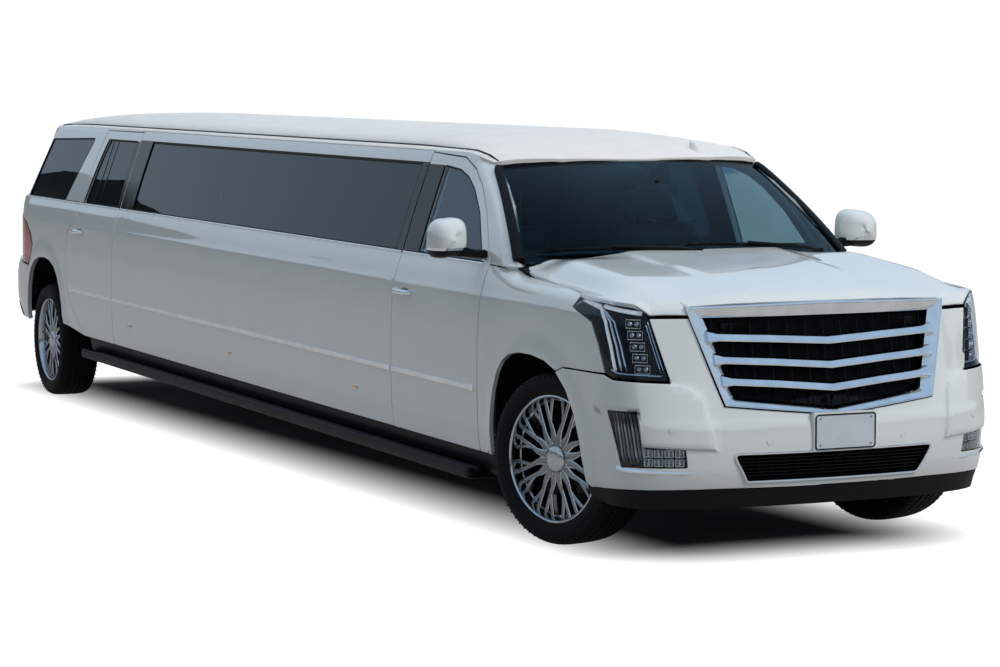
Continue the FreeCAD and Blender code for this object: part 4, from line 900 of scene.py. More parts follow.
for sign, side in ((1, "left"), (-1, "right")):
    flip = lambda loop: loop if sign > 0 else mirrored(loop)
    at = lambda s, z, out: on(noseSurface, sign * s, z, out)
    addPiece("headlampLens_" + side, skin(flip(rounded(shifted(lampLoop, -.001), .010)), noseSurface, .003, (.04, .03),
             .002, .02, .002), [lensClear], replaces=["headlights"] if sign > 0 else ())
    lampParts = skin(flip(rounded(shifted(lampLoop, -.002), .01)), noseSurface, .004, (.05, .04), .001, .03, -.058,
                     slot=0, plain=True) + walls(noseSurface, flip(shifted(lampLoop, -.003)), -.062, -.002)
    # column of five square modules, each with a bright rim and two lenses
    lens = turned([(-.0215, .0005), (-.0208, .005), (-.018, .009), (-.0135, .0118)], (0, 0, 0), "Y", 16, 2)
    for z in [.880 + k * .050 for k in range(5)]:
        s = .905 + (z - .88) * .17
        c, turn, made = lampModule(at, (s, z, -.030), (s, z), (.036, .012, .0205), (.036, .016, .0205), .004, 0, lens,
                                   ((-.0155, 0), (.0155, 0)))
        rim = tube([c + turn @ Vector((x, -.0135, dz)) for x, dz in box(-.034, .034, -.0185, .0185)], .0016, 6,
                   1, True,
                   up=tuple(turn @ Vector((0, 1, 0))))
        lampParts += [made[0], rim] + made[1:]
    # light guides: tall blades down the outer side, fine lines at the inner edge, and a hook along the top
    for off, fat, slot in ((0, .009, 4), (.040, .006, 1), (.070, .0045, 1)):
        path = along([(1.385 - off * .6, 1.165 - off * .20), (1.22 - off * .8, 1.150 - off * .35), (1.15 - off, 1.085),
                      (1.10 - off, .98), (1.068 - off, .872)], .03)
        lampParts.append(tube([at(s, z, -.016 - off * .1) for s, z in path], fat, 8, slot, flat=.7))
    for s0, z0, s1, z1 in ((.862, 1.105, .800, .862), (.872, 1.09, .815, .868)):
        lampParts.append(tube([at(s0 + (s1 - s0) * t, z0 + (z1 - z0) * t, -.014) for t in np.linspace(0, 1, 9)], .0035,
                              6, 1))
    for path, out, fat, sides, slot in (([(.80, .850), (1.05, .858), (1.10, .872)], -.018, .005, 6, 1),
                                        ([(.885, 1.125), (1.05, 1.140), (1.18, 1.150)], -.02, .010, 8, 4)):
        lampParts.append(tube([at(s, z, out) for s, z in along(path, .03)], fat, sides, slot))
    addPiece("headlampInside_" + side, lampParts, [metalHousing, chromeTrim, satinTrim, lensClear, ledWhite])
    # fog lamp: fluted upright and a row of faceted modules under one smoke lens
    addPiece("fogLens_" + side, skin(flip(rounded(shifted(fogHole, -.002), .006)), noseSurface, .003, (.04, .03), .002,
             .02, -.004), [lensClear])
    fogParts = skin(flip(rounded(shifted(fogHole, .004), .006)), noseSurface, .004, (.05, .04), .001, .03, -.045,
                    slot=0, plain=True) + walls(noseSurface, flip(shifted(fogHole, -.001)), -.047, -.003)
    for k in range(8):
        s = .955 + k * .0205
        fogParts.append(tube([at(s - back, z, -.022)
                              for back, z in ((0, .684), (.012, .60), (.030, .50), (.045, .462))],
                             .0055, 6, 2 if k % 2 else 1, flat=.9))
    facet = turned([(-.017, .0004), (-.012, .0085)], (0, 0, 0), "Y", 4, 2, 45)
    for i in range(4):
        for j in range(2):
            fogParts += lampModule(at, (.757 + i * .049 + j * .003, .473 + j * .041, -.024), (.80, .5),
                                   (.021, .012, .0175), (.021, .012, .0175), .003, 1, facet,
                                   ((-.0095, .007), (.0095, .007), (-.0095, -.007), (.0095, -.007)))[2]
    addPiece("fogInside_" + side, fogParts, [metalHousing, satinTrim, steelPipe])
print("nose lamps made")

# ---- front wings
ridge = curveThrough([(-.60, 1.175), (-.45, 1.185), (-.20, 1.203), (.10, 1.216), (.35, 1.225), (.50, 1.252),
                      (.70, 1.258)])
wingBase, wingRise = .9, .358  # above the base the wing is stretched to meet the ridge


def wingSurface(sv):
    s, v = sv[:, 0], sv[:, 1]
    y = planAt(np.abs(s))[:, 1]
    z = np.where(v > wingBase, wingBase + (v - wingBase) * (ridge(y) - wingBase) / wingRise, v)
    p = noseSurface(np.stack([s, z], 1))
    t = np.clip((v - 1.258 + .075) / .075, 0, 1)
    p[:, 0] -= .085 * (1 - np.sqrt(np.maximum(0, 1 - t ** 2))) * (1 - smooth(y, .45, .68)) * np.sign(s)
    return p


wingLoop = [(s, wingBase + (z - wingBase) * wingRise / (float(ridge(planAt(s)[1])) - wingBase) if z > wingBase else z)
            for s, z in ((1.131, .857), (1.188, .980), (1.265, 1.076), (1.459, 1.132))]
wingLoop += [(1.412, 1.252), (1.405, 1.258), (2.0, 1.258), (2.452, 1.258), (2.452, .352), (2.303, .352)]
wingLoop += [(s, z) for s, z in reversed(archS) if s > 1.57 and z > .3] + [(1.558, .832), (1.50, .855)]
bothSides("frontWing", skin(wingLoop, wingSurface, .02, (.04, .03), .003, .02, corner=.004, back=1, rows=beltRows +
                            (1.19, 1.205, 1.22, 1.232, 1.242, 1.249, 1.253, 1.256)), [pearlPaint, blackPlastic],
          replaces=["front_wings"])

# ---- hood: a crowned sheet that rolls down to the nose along its front edge
crownLine = curveThrough([(-.90, 1.150), (-.85, 1.172), (-.80, 1.196), (-.70, 1.222), (-.55, 1.247), (-.30, 1.278),
                          (.12, 1.318), (.30, 1.338), (.6, 1.37)])
hoodDrop = curveThrough([(0, 0), (.3, .003), (.5, .006), (.68, .003), (.75, .002), (.79, .012), (.83, .038),
                         (.87, .070), (.905, .092), (.935, .100), (.96, .11), (1.1, .15)])
hoodFront = [on(noseSurface, s, z) for s, z in (
    (0, 1.172), (.30, 1.168), (.655, 1.157), (.664, 1.110), (.846, 1.110), (.862, 1.126), (.916, 1.168),
    (1.075, 1.181), (1.25, 1.188), (1.400, 1.196))]
hoodFrontLine = np.array(along(hoodFront, .02))


def hoodSurface(xy):
    x, y = np.abs(xy[:, 0]), xy[:, 1]
    top = crownLine(y) - hoodDrop(x) * (.6 + .4 * smooth(y, -.75, .1))
    # the raised middle ends in a soft crease, and the outer edges sink toward the nose and toward the screen
    top = top + .006 * (1 - smooth(x - (.34 + .10 * smooth(y, -.8, .2)), -.035, .015))
    top = top - .038 * smooth(-y, .38, .72) * smooth(x, .35, .76) * (1 - smooth(x, .80, .92))
    top = top - .046 * smooth(y, .10, .38) * smooth(x, .35, .74) * (1 - .75 * smooth(x, .80, .90))
    # height and distance of the nearest point of the front edge
    at, a, run = np.stack([x, y], 1)[:, None, :], hoodFrontLine[:-1], np.diff(hoodFrontLine, axis=0)
    t = np.clip(((at - a[:, :2]) * run[:, :2]).sum(2) / (run[:, :2] ** 2).sum(1), 0, 1)
    d = np.sqrt((((a[:, :2] + t[..., None] * run[:, :2]) - at) ** 2).sum(2))
    near = d.argmin(1)
    t, d = t[np.arange(len(d)), near], d[np.arange(len(d)), near]
    low = a[near, 2] + run[near, 2] * t
    t = np.clip(1 - d / (.085 - .03 * smooth(x, .80, .93)), 0, 1)
    return np.stack([xy[:, 0], y, low + (top - low) * np.sqrt(np.maximum(0, 1 - t ** 2))], 1)


hoodHalfLoop = [(0, .262), (.40, .288), (.62, .335), (.80, .408), (.872, .428), (.900, .36), (.913, .106),
                (.925, -.13),
                (.935, -.28)]
hoodHalfLoop += [(p[0] - .001, p[1] + .001) for p in reversed(hoodFront) if p[0] > .01] + [(0, hoodFront[0][1])]
hoodRibs = [[p for p in shifted(bothWays(hoodHalfLoop), -off) if p[1] < -.25]
            for off in (.003, .008, .015, .025, .040, .06)]
addPiece("hoodSkin", skin(bothWays(hoodHalfLoop), hoodSurface, .018, (.045, .045), .002, .02, back=1,
         creases=hoodRibs), [pearlPaint, blackPlastic], "hood_lid", ["hood"])
print("hood and wings made")

# ---- windscreen, cowl and wipers
screenLow = curveThrough([(0, .232, 1.318), (.5, .300, 1.306), (.80, .41, 1.288), (.915, .478, 1.276)])
screenHigh = curveThrough([(0, .985, 1.752), (.42, 1.02, 1.744), (.745, 1.100, 1.722)])


def screenSurface(ab, out=0.0):
    # a runs across and b up the glass, both as lengths in metres
    a, b = ab[:, 0] / .83, np.clip(ab[:, 1] / .84, -.1, 1.1)
    low, high = screenLow(np.abs(a) * .915), screenHigh(np.abs(a) * .745)
    yz = low + (high - low) * b[:, None] + (.022 * 4 * b * (1 - b) + out)[:, None] * np.array([-.50, .87])
    return np.column_stack([a * (.915 + (.745 - .915) * b), yz])


screenLoop = [(-.826, .0), (.826, .0), (.826, .838), (-.826, .838)]
fritHole = [(-.785, .095), (-.3, .075), (.3, .075), (.785, .095), (.785, .795), (.11, .800), (.075, .755),
            (-.075, .755), (-.11, .800), (-.785, .795)]
addPiece("screenGlass", skin(screenLoop, screenSurface, .006, (.05, .05), .0015, .04, corner=.05), [screenTint],
         replaces=["windshield"])
addPiece("screenFrit", skin(screenLoop, screenSurface, .002, (.05, .05), .0005, .04, -.0065, corner=.05,
                            holes=[rounded(fritHole, .04)]), [frit])
# rubber line round the glass, then the panel that carries the wipers
sealParts = [bead(screenSurface, [(sign * .822, .02), (sign * .822, .78), (sign * .812, .82)], .046, .013, out=.006)
             for sign in (1, -1)]
sealParts.append(bead(screenSurface, [(-.80, .838), (.80, .838)], .016, .006, out=-.001))
addPiece("screenSeal", sealParts, [blackPlastic])
cowlParts = []
for k in range(5):
    rows = []
    for x in np.linspace(-.905, .905, 41):
        y, z = screenLow(abs(x))
        deep = y + .05 - .262 - .33 * (abs(x) / .885) ** 2.4 * .37
        rows.append([(x, y + .02 - deep * t, z - .012 - .018 * t - dz) for t, dz in
                     ((k / 5, 0), (k / 5, .010), ((k + .82) / 5, .012), ((k + .82) / 5, .003))])
    cowlParts.append(loft(rows))
addPiece("cowlVent", cowlParts, [blackPlastic])
wiperParts = []
for px, reach in ((.60, .64), (-.08, .62)):
    blade = [on(screenSurface, px - .05 - t * reach, .034 + .020 * t, .013) for t in np.linspace(0, 1, 12)]
    arm = along([on(screenSurface, px + .04, .006, .012), on(screenSurface, px - .05, .018, .022),
                 on(screenSurface, px - .05 - reach * .5, .048, .026)], .05)
    wiperParts += [tube(blade, .0055, 6, flat=.8), tube([(x, y - .006, z + .010) for x, y, z in blade[1:-1]], .004, 6,
                                                        flat=1.6), tube(arm, .009, 8, flat=1.4),
                   turned([(.022, .0005), (.022, .012), (.018, .016), (-.012, .016), (-.01, .0005)],
                          on(screenSurface, px + .04, .006, .004), "Z", 20)]
addPiece("wipers", wiperParts, [blackPlastic])

# ---- roof
roofSection = curveThrough([(0, 1.890), (.30, 1.8842), (.56, 1.862), (.706, 1.828), (.774, 1.786), (.80, 1.76)])
roofSide = curveThrough([(.93, 1.748), (.985, 1.760), (1.095, 1.790), (1.20, 1.814), (1.40, 1.845), (1.70, 1.872),
                         (2.10, 1.890), (2.4, 1.890)])
roofTail = curveThrough([(7.4, 1.890), (7.90, 1.890), (8.40, 1.878), (8.80, 1.852), (9.10, 1.822), (9.25, 1.800)])
eaveLine = curveThrough([(.93, 1.712), (.985, 1.722), (1.10, 1.730), (1.20, 1.765), (1.35, 1.785), (2.0, 1.786)])
eaveTail = curveThrough([(7.9, 1.786), (8.45, 1.784), (8.84, 1.768), (9.1, 1.750), (9.25, 1.74)])


def roofSurface(xy, out=0.0):
    x, y = np.abs(xy[:, 0]), xy[:, 1]
    top = np.where(y < 3, roofSide(y), roofTail(y - aft))
    eave = np.where(y < 3, eaveLine(y), eaveTail(y - aft))
    z = eave + (roofSection(x) - 1.786) * (top - eave) / (1.890 - 1.786)
    # fine parallel lines beside the rail
    for at, deep, wide in ((.742, .006, .006), (.705, .0022, .004), (.690, .0022, .004)):
        z = z - deep * np.exp(-((x - at) / wide) ** 2) * smooth(y, 1.3, 1.6)
    return np.stack([xy[:, 0], y, z + out], 1)


roofHalf = [(0, .972), (.42, 1.006), (.70, 1.078), (.748, 1.105), (.772, 1.20), (.775, 1.30)] + [
    (x, y + aft) for x, y in ((.774, 8.835), (.740, 8.930), (.692, 9.045), (.640, 9.145), (.590, 9.212), (.56, 9.240),
                              (0, 9.245))]
addPiece("roofSkin", skin(bothWays(roofHalf), roofSurface, .022, (.07, .11), .004, .05, back=1, creases=[
    [(x, 1.5), (x, 8.7 + aft)] for x in (.742, -.742)]), [roofSkin, headLining], replaces=["roof_panel"])
for sign, side in ((1, "Left"), (-1, "Right")):
    ditch = [(sign * x, y) for x, y in ((.725, 1.10), (.738, 1.25), (.742, 1.6), (.742, 8.60 + aft),
                                        (.73, 8.86 + aft))]
    addPiece("ditchStrip" + side, [bead(roofSurface, ditch, .010, .0015, lift=.0008)], [blackPlastic])
# aerial: low swept fin in the colour of the roof, left of the middle behind the screen
fin = {"x": .41, "front": 1.05, "rear": 1.20, "height": .030, "width": .020, "sunk": .004}
rings = []
for t in np.linspace(0, 1, 9):
    front, rearward = fin["front"] + .085 * t ** .8, fin["rear"] + .004 * t
    loop = circle(0, 0, 1, n=24)
    loop = [(fin["x"] + (fin["width"] * (1 - t) ** .7 + .0025) * s,
             (front + rearward) / 2 + (rearward - front) / 2 * c)
            for c, s in loop]
    rings.append([(x, y, on(roofSurface, x, y)[2] - fin["sunk"] + (fin["height"] + fin["sunk"]) * t) for x, y in loop])
addPiece("aerialFin", [loft(rings, back=True)], [roofSkin])
print("windscreen and roof made")

# ---- wheels
wheel = {"radius": .404, "spokes": 8, "hub": .064, "edge": .116, "rest": math.radians(18.0), "kingpin": .7675,
         "centre": .8725, "sipes": 160, "nuts": 6}
treadLine = curveThrough([(-.134, .368), (-.124, .386), (-.108, .397), (-.085, .4015), (-.045, .4035), (0, .404),
                          (.045, .4035), (.085, .4015), (.108, .397), (.124, .386), (.134, .368)])


def tyreParts():
    # four grooves round the tread and sipes across it
    right = (0, .012, .014, .024, .026, .030, .050, .060, .062, .070, .072, .080, .096, .108, .122)
    xs = [-x for x in right[:0:-1]] + list(right)
    grooves = [(-.066, .0055), (-.019, .0065), (.019, .0065), (.066, .0055)]
    rings = []
    for k in range(wheel["sipes"] * 2):
        a, ring = math.pi * k / wheel["sipes"], []
        for x in xs:
            r = float(treadLine(x))
            if any(abs(x - g) < w - .0005 for g, w in grooves):
                r -= .0075
            elif k % 4 == 0 and abs(x) > .072:
                r -= .005
            elif k % 4 == 2 and .03 < abs(x) < .058:
                r -= .004
            ring.append((x, r * math.cos(a), r * math.sin(a)))
        rings.append(ring)
    verts, faces, _, _ = loft(rings, closed=True)
    parts = [(verts, [f for k, f in enumerate(faces) if (k + 1) % len(xs)], None, 0)]
    side = [(.120, .3895), (.127, .383), (.1335, .370), (.1365, .352), (.1350, .350), (.1355, .346), (.1372, .345),
            (.1365, .335), (.1335, .322), (.1335, .320), (.1290, .312), (.1215, .301), (.1195, .2995),
            (.112, .293), (.100, .288), (.085, .287)]
    for sign in (1, -1):
        parts.append(turned([(x * sign, r) for x, r in side][::sign], steps=128))
        # ribs of the shoulder block moulded on the sidewall
        rib = block((sign * .130 - .002, -.0035, .376), (sign * .130 + .002, .0035, .388), .001, steps=1)
        for k in range(64):
            c, s = math.cos(2 * math.pi * k / 64), math.sin(2 * math.pi * k / 64)
            parts.append(([(x, y * c + z * s, -y * s + z * c) for x, y, z in rib[0]], rib[1], None, 0))
    # closed inside so that the tyre has a wall
    wall = [(.088, .287), (.112, .300), (.124, .345), (.108, .384), (0, .391)]
    parts.append(turned(wall + [(-x, r) for x, r in wall[-2::-1]], steps=96))
    return parts


def rimParts():
    edge, face, hub = wheel["edge"], wheel["edge"] - .018, wheel["hub"]
    # barrel with a stepped bright lip, outer side at +x
    parts = [turned([(-edge, .2985), (-edge - .004, .292), (-edge, .280), (-edge + .03, .268), (-.02, .262),
                     (edge - .052, .268), (edge - .050, .2765), (edge - .022, .281), (edge - .006, .2845),
                     (edge + .001, .287), (edge + .005, .292), (edge + .003, .2975), (edge - .004, .2985)],
                    steps=128, slot=1),
             turned([(edge - .004, .2985), (edge - .014, .288), (0, .275), (-edge + .014, .288), (-edge, .2985)],
                    steps=96)]
    # one trunk that parts into two arms, each of which parts again at the rim: rows of (radius, off, width, dip)
    branch = [(.060, .016, .0235, .0), (.100, .017, .0200, .002), (.130, .024, .0165, .004), (.165, .041, .0130, .006),
              (.20, .056, .0115, .007), (.276, .084, .0120, .010)]
    twig = [(.170, .043, .0120, .0065), (.205, .041, .0095, .0085), (.276, .034, .0100, .0115)]
    for k in range(wheel["spokes"]):
        c, s = math.cos(2 * math.pi * k / wheel["spokes"]), math.sin(2 * math.pi * k / wheel["spokes"])
        for path, depth, sign in ((branch, .040, -1), (twig, .034, -1), (branch, .040, 1), (twig, .034, 1)):
            rings = []
            for r, off, wide, dip in path:
                flank = [(depth, .55), (.010, .98), (.0030, .92), (0, .66), (.0022, .40)]
                rows = [(d, -w) for d, w in flank] + flank[::-1]
                rings.append([(face - dip - d, r * c - (sign * off + w * wide) * s,
                               r * s + (sign * off + w * wide) * c)
                              for d, w in rows])
            v, f, _, _ = loft(rings)
            # bright machined edges on a painted spoke
            bright = [i for i in range(len(f) - 2) if i % 10 in (2, 6)]
            parts += [(v, [q for i, q in enumerate(f) if i not in bright], None, 0),
                      (v, [f[i] for i in bright], None, 1)]
    # hub, bare domed cap with a stepped ring, and a dark face behind the spokes
    for rows, steps, slot in (
            ([(-.006, hub), (-.002, hub + .001), (-.004, hub + .006), (-.012, hub + .012), (-.050, hub + .014)],
             64, 0),
            ([(.0155, .0003), (.0155, .012), (.0150, hub - .040), (.0135, hub - .027), (.0115, hub - .024),
              (.013, hub - .022), (.010, hub - .010), (.004, hub - .003), (-.006, hub)], 64, 1),
            ([(-.050, .010), (-.052, .108), (-.060, .110)], 48, 2)):
        parts.append(turned([(face + d, r) for d, r in rows], steps=steps, slot=slot))
    for k in range(wheel["nuts"]):
        a = 2 * math.pi * (k + .5) / wheel["nuts"]
        parts.append(turned([(face - .026, .0003), (face - .026, .008), (face - .030, .011), (face - .050, .011)],
                            (0, .088 * math.cos(a), .088 * math.sin(a)), "X", 6, 1))
    # valve
    return parts + [tube([(edge - .04, .262, .03), (edge - .015, .250, .029)], .0032, 8, 2)]


madeParts = {"tyre": (tyreParts(), [tyreRubber]), "rim": (rimParts(), [castAlloy, machinedAlloy, castIron])}
for name, y, sign in (("front_left", 0, 1), ("front_right", 0, -1), ("rear_left", wheelbase, 1),
                      ("rear_right", wheelbase, -1)):
    spot = Matrix.Translation((sign * wheel["centre"], y, wheel["radius"]))
    if y == 0:
        pin = Matrix.Translation((sign * wheel["kingpin"], 0, 0))
        spot = pin @ Matrix.Rotation(wheel["rest"], 4, "Z") @ pin.inverted() @ spot
    for kind, (made, mats) in madeParts.items():
        piece = meshObject(kind + "Dressed_" + name, made if sign > 0 else mirroredParts(made), mats, ground @ spot)
        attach(piece, "wheel_" + name)
        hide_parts(kind + "_" + name)
print("wheels made")

# ---- trim along the sides
strip = {"low": .6425, "high": .6685, "from": .752, "to": 7.723 + aft, "lift": .006, "blockGrow": .004}
frontEnd, stretchRun, rearFrom = 1.788, (1.806, 6.737 + aft), 6.756 + aft
for name, y0, y1, rides, grow in (
        ("doorStripFront", strip["from"], frontEnd, "front_door_SIDE", 0),
        ("doorStripBlockFront", .742, .80, "front_door_SIDE", strip["blockGrow"]),
        ("stretchStrip", *stretchRun, "body", 0), ("doorStripRear", rearFrom, strip["to"], "rear_door_SIDE", 0),
        ("doorStripBlockRear", 7.690 + aft, strip["to"] + .016, "rear_door_SIDE", strip["blockGrow"])):
    loop = box(y0, y1, strip["low"] - grow, strip["high"] + grow)
    bothSides(name, skin(loop, sideSurface, .009, (.12, .01), .0035, .04, strip["lift"], corner=.007), [chromeTrim],
              rides)
# bright line and black rubber under the windows
for name, y0, y1, rides in (("beltFront", .772, frontEnd, "front_door_SIDE"), ("beltStretch", *stretchRun, "body"),
                            ("beltRear", rearFrom, 7.690 + aft, "rear_door_SIDE"),
                            ("beltQuarter", 7.715 + aft, 9.02 + aft, "body")):
    bothSides(name, [bead(cabinSurface, [(y0, 1.2615), (y1, 1.2615)], .012, .0055)], [chromeTrim], rides)
    bothSides(name + "Rubber", [bead(cabinSurface, [(y0 + .01, 1.2695), (y1 - .01, 1.2695)], .006, .004)],
              [blackPlastic], rides)
# frame mouldings round the door glass and the quarter glass
for name, outline, rides in (("frameFront", frontGlassOutline, "front_door_SIDE"),
                             ("frameRear", rearGlassOutline, "rear_door_SIDE"),
                             ("frameQuarter", quarterGlassOutline, "body"), ("frameLong", longGlassOutline, "body")):
    bothSides(name, [bead(cabinSurface, rounded(shifted(outline, .001), .02), .009, .0048, closed=True, out=-.003)],
              [blackPlastic], rides)
# two dark bars near the back of the rear door glass
for k, y in enumerate((7.262 + aft, 7.372 + aft)):
    bothSides("rearDoorBar%d" % k, skin(box(y, y + .018, 1.272, 1.710), cabinSurface, .006, (.01, .06), .001,
                                        out=-.009),
              [glossBlack], "rear_door_SIDE")


def handleParts(y, z):
    at = lambda dy, dz, out: on(sideSurface, y + dy, z + dz, out)
    rings = []
    for dy, out in ((-.098, .010), (-.090, .028), (-.070, .038), (0, .041), (.070, .038), (.086, .030), (.094, .012)):
        tall = .0125 if abs(dy) < .08 else .0105
        rings.append([at(dy, c * tall, out + s * .0065) for c, s in circle(0, 0, 1, n=12)])
    # bar, dished cup behind it, and the lock at its rear end
    x, y1, z1 = at(.1175, -.001, .0070)
    x2, y2, z2 = at(.1185, .001, .0085)
    return [loft(rings, back=True), *skin(circle(y, z, .060, .019), sideSurface, .001, (.02, .01), .0005, out=.0008,
                                          slot=1),
            turned([(.0105, .0003), (.0105, .0055), (.0125, .0060), (.012, .0100), (.0135, .0125), (.010, .0155),
                    (0, .0155)], at(.118, 0, -.004), "X", 32), block((x, y1, z1), (x2 + .001, y2, z2), 0, 2)]


for name, y, z in (("front_door", 1.630, 1.068), ("rear_door", 7.525 + aft, 1.075)):
    bothSides(name + "Handle", handleParts(y, z), [chromeTrim, satinTrim, frit], name + "_SIDE")
# fuel door on the left quarter panel, a plain round-cornered flap
addPiece("fuelDoor", skin(box(8.46 + aft, 8.62 + aft, .955, 1.105), sideSurface, .002, (.03, .02), .0012, .01, .0016,
                          corner=.03), [pearlPaint])
# small side lamps low on the stretched panels
for k, y in enumerate((2.30, 4.35 + aft / 2, 6.35 + aft)):
    loop = box(y - .038, y + .038, .498, .520)
    made = skin(loop, sideSurface, .004, (.02, .01), .002, .01, .004, corner=.010)
    made += skin(loop, sideSurface, .003, (.02, .008), .0015, .01, .0065, -.005, .005, slot=1)
    bothSides("sideLamp%d" % k, made, [chromeTrim, amberLens])

# sills between the body and the boards, and the running boards
sillProfile = [(.905, .350), (.965, .350), (.968, .318), (.955, .262), (.930, .236), (.900, .232)]
bothSides("sillPanel", [loft([[(x, y, z) for x, z in sillProfile] for y in np.linspace(.575, 7.42 + aft, 60)],
                             back=True)], [blackPlastic])
boardProfile = [(.875, .214), (.875, .246), (.905, .250), (1.018, .250), (1.024, .262), (1.032, .268), (1.041, .263),
                (1.045, .250), (1.045, .222), (1.038, .210), (1.02, .207), (.89, .207)]
boardY = [.752, .758, .770] + list(np.linspace(.80, 7.36 + aft, 48)) + [7.39 + aft, 7.402 + aft, 7.408 + aft]
rings = []
for y, k in zip(boardY, [.80, .93, .985] + [1] * 48 + [.985, .93, .80]):
    rings.append([(.96 + (x - .96) * k, y, .229 + (z - .229) * k) for x, z in boardProfile])
boardParts = [loft(rings)]
for x in [.898 + k * .018 for k in range(7)]:
    boardParts.append(tube([(x, y, .2508) for y in np.linspace(.80, 7.36 + aft, 40)], .0032, 6, flat=1.1))
for y in np.linspace(1.1, 7.0 + aft, 6):
    boardParts += [block((.60, y - .035, .218), (.90, y + .035, .234), .003, 1),
                   block((.60, y - .035, .218), (.618, y + .035, .330), .003, 1)]
bothSides("runningBoard", boardParts, [blackPlastic, chassisPaint], replaces=["running_boards"])

mirror = {"centre": (1.150, 1.392), "half": (.098, .095), "power": 3.2, "steps": 48, "cuts": (.046, .058)}


def mirrorHousing():
    (cx, cz), (w, h), steps = mirror["centre"], mirror["half"], mirror["steps"]
    rings = []
    for r in (0.02, .25, .45, .62, .76, .87, .94, .98, 1.0):
        ring = []
        for c, s in circle(0, 0, 1, n=steps):
            m = (abs(c) ** mirror["power"] + abs(s) ** mirror["power"]) ** (-1 / mirror["power"])
            ring.append((cx + w * m * c * r * (1 - .05 * s), .762 - .098 * max(0, 1 - r ** 2.5) ** .55 - .012 * c,
                         cz + h * m * s * r - .010 * c))
        rings.append(ring)
    scaled = lambda ring, k, y: [(cx + (x - cx) * k, y(x, old), cz + (z - cz) * k) for x, old, z in ring]
    rings.append(scaled(rings[-1], 1.004, lambda x, old: .800 - .012 * (x - cx) / w))
    rings.append(scaled(rings[-1], .965, lambda x, old: old + .006))
    rings.append(scaled(rings[-1], .95, lambda x, old: old - .010))
    v, f, _, _ = loft(rings)
    # cut level under the painted cap: a bright line, then the black foot
    made = bmesh.new()
    corners = [made.verts.new(p) for p in v]
    for face in f:
        made.faces.new([corners[k] for k in face])
    cuts = [cz - cut for cut in mirror["cuts"]]
    for level in cuts:
        bmesh.ops.bisect_plane(made, geom=made.verts[:] + made.edges[:] + made.faces[:], plane_co=(0, 0, level),
                               plane_no=(0, 0, 1))
    v, f = fromBmesh(made)
    v = np.array([tuple(p) for p in v])
    mid = np.array([v[list(q)].mean(0) for q in f])
    zone = np.where(mid[:, 2] < cuts[1], 1, np.where(mid[:, 2] < cuts[0], 2, 0))
    zone[mid[:, 1] > .796] = 1
    parts = [(v, [q for q, at in zip(f, zone) if at == k], None, k) for k in range(3)]
    # mirror glass and the arm to the door
    glass = [(x, y + .002, z) for x, y, z in rings[-1]]
    parts.append((glass + scaled(glass, .97, lambda x, old: old + .001),
                  [(k, (k + 1) % steps, steps + (k + 1) % steps, steps + k) for k in range(steps)]
                  + [tuple(steps + k for k in range(steps))], None, 3))
    arm = np.array([[(.938, .745, 1.288), (.938, .835, 1.288), (.945, .830, 1.328), (.945, .755, 1.330)],
                    [(1.00, .740, 1.290), (1.00, .815, 1.290), (1.00, .812, 1.328), (1.00, .748, 1.330)],
                    [(1.07, .725, 1.300), (1.07, .790, 1.300), (1.07, .788, 1.345), (1.07, .735, 1.350)],
                    [(1.12, .722, 1.305), (1.12, .780, 1.305), (1.12, .778, 1.365), (1.12, .730, 1.365)]])
    return parts + [loft([[p + (q - p) * t for p, q in zip(ring, np.roll(ring, -1, 0)) for t in (.15, .5, .85)]
                          for ring in arm], 1)]


bothSides("doorMirror", mirrorHousing(), [pearlPaint, blackPlastic, chromeTrim, mirrorGlass], "front_door_SIDE",
          ["door_mirror_SIDE"], "chromed_trim")
print("side trim made")

# ---- tail: corner posts, lamps, bumper and liftgate
postAt = [curveThrough([(.12 * k, half - i, y + aft) for k, (i, y) in enumerate(rows)]) for rows in (
    ((.067, 9.05), (.107, 9.14), (.152, 9.25), (.212, 9.38), (.277, 9.485), (.316, 9.53)),
    ((.248, 8.835), (.285, 8.935), (.330, 9.045), (.382, 9.145), (.432, 9.215), (.462, 9.24)))]


def cornerSurface(uz, out=0.0):
    # bent round the plan of the post, which differs at the belt and at the roof
    k = ((uz[:, 1] - 1.258) / (1.783 - 1.258))[:, None]
    return np.column_stack([postAt[0](uz[:, 0]) * (1 - k) + postAt[1](uz[:, 0]) * k, uz[:, 1]])


postLoop = [(.002, 1.262), (.44, 1.262), (.44, 1.712), (.597, 1.780), (.002, 1.783)]
bothSides("cornerPost", skin(postLoop, cornerSurface, .02, (.04, .04), .003, .03, corner=.006, back=1), trimMats,
          replaces=["rear_corner_posts"])

gateRows = [(9.262, 1.822), (9.330, 1.806), (9.400, 1.784), (9.432, 1.758), (9.448, 1.730), (9.524, 1.496),
            (9.600, 1.262), (9.640, 1.238), (9.672, 1.200), (9.683, 1.12), (9.690, 1.000), (9.690, .835)]
gateLine, gateRun = curveAlong(gateRows)


def downTo(points):
    # heights become lengths measured down the gate
    return [(x, float(np.interp(-z, [-r[1] for r in gateRows], gateRun))) for x, z in points]


def gateSurface(xt, out=0.0):
    x, t = xt[:, 0], xt[:, 1]
    yz, q = gateLine(t), unit(gateLine(t + .004) - gateLine(t - .004))
    bow = .050 * (np.abs(x) / .75) ** 2 + .030 * smooth(np.abs(x), .60, .78)
    return np.stack([x, yz[:, 0] + aft - bow - q[:, 1] * out, yz[:, 1] + q[:, 0] * out], 1)


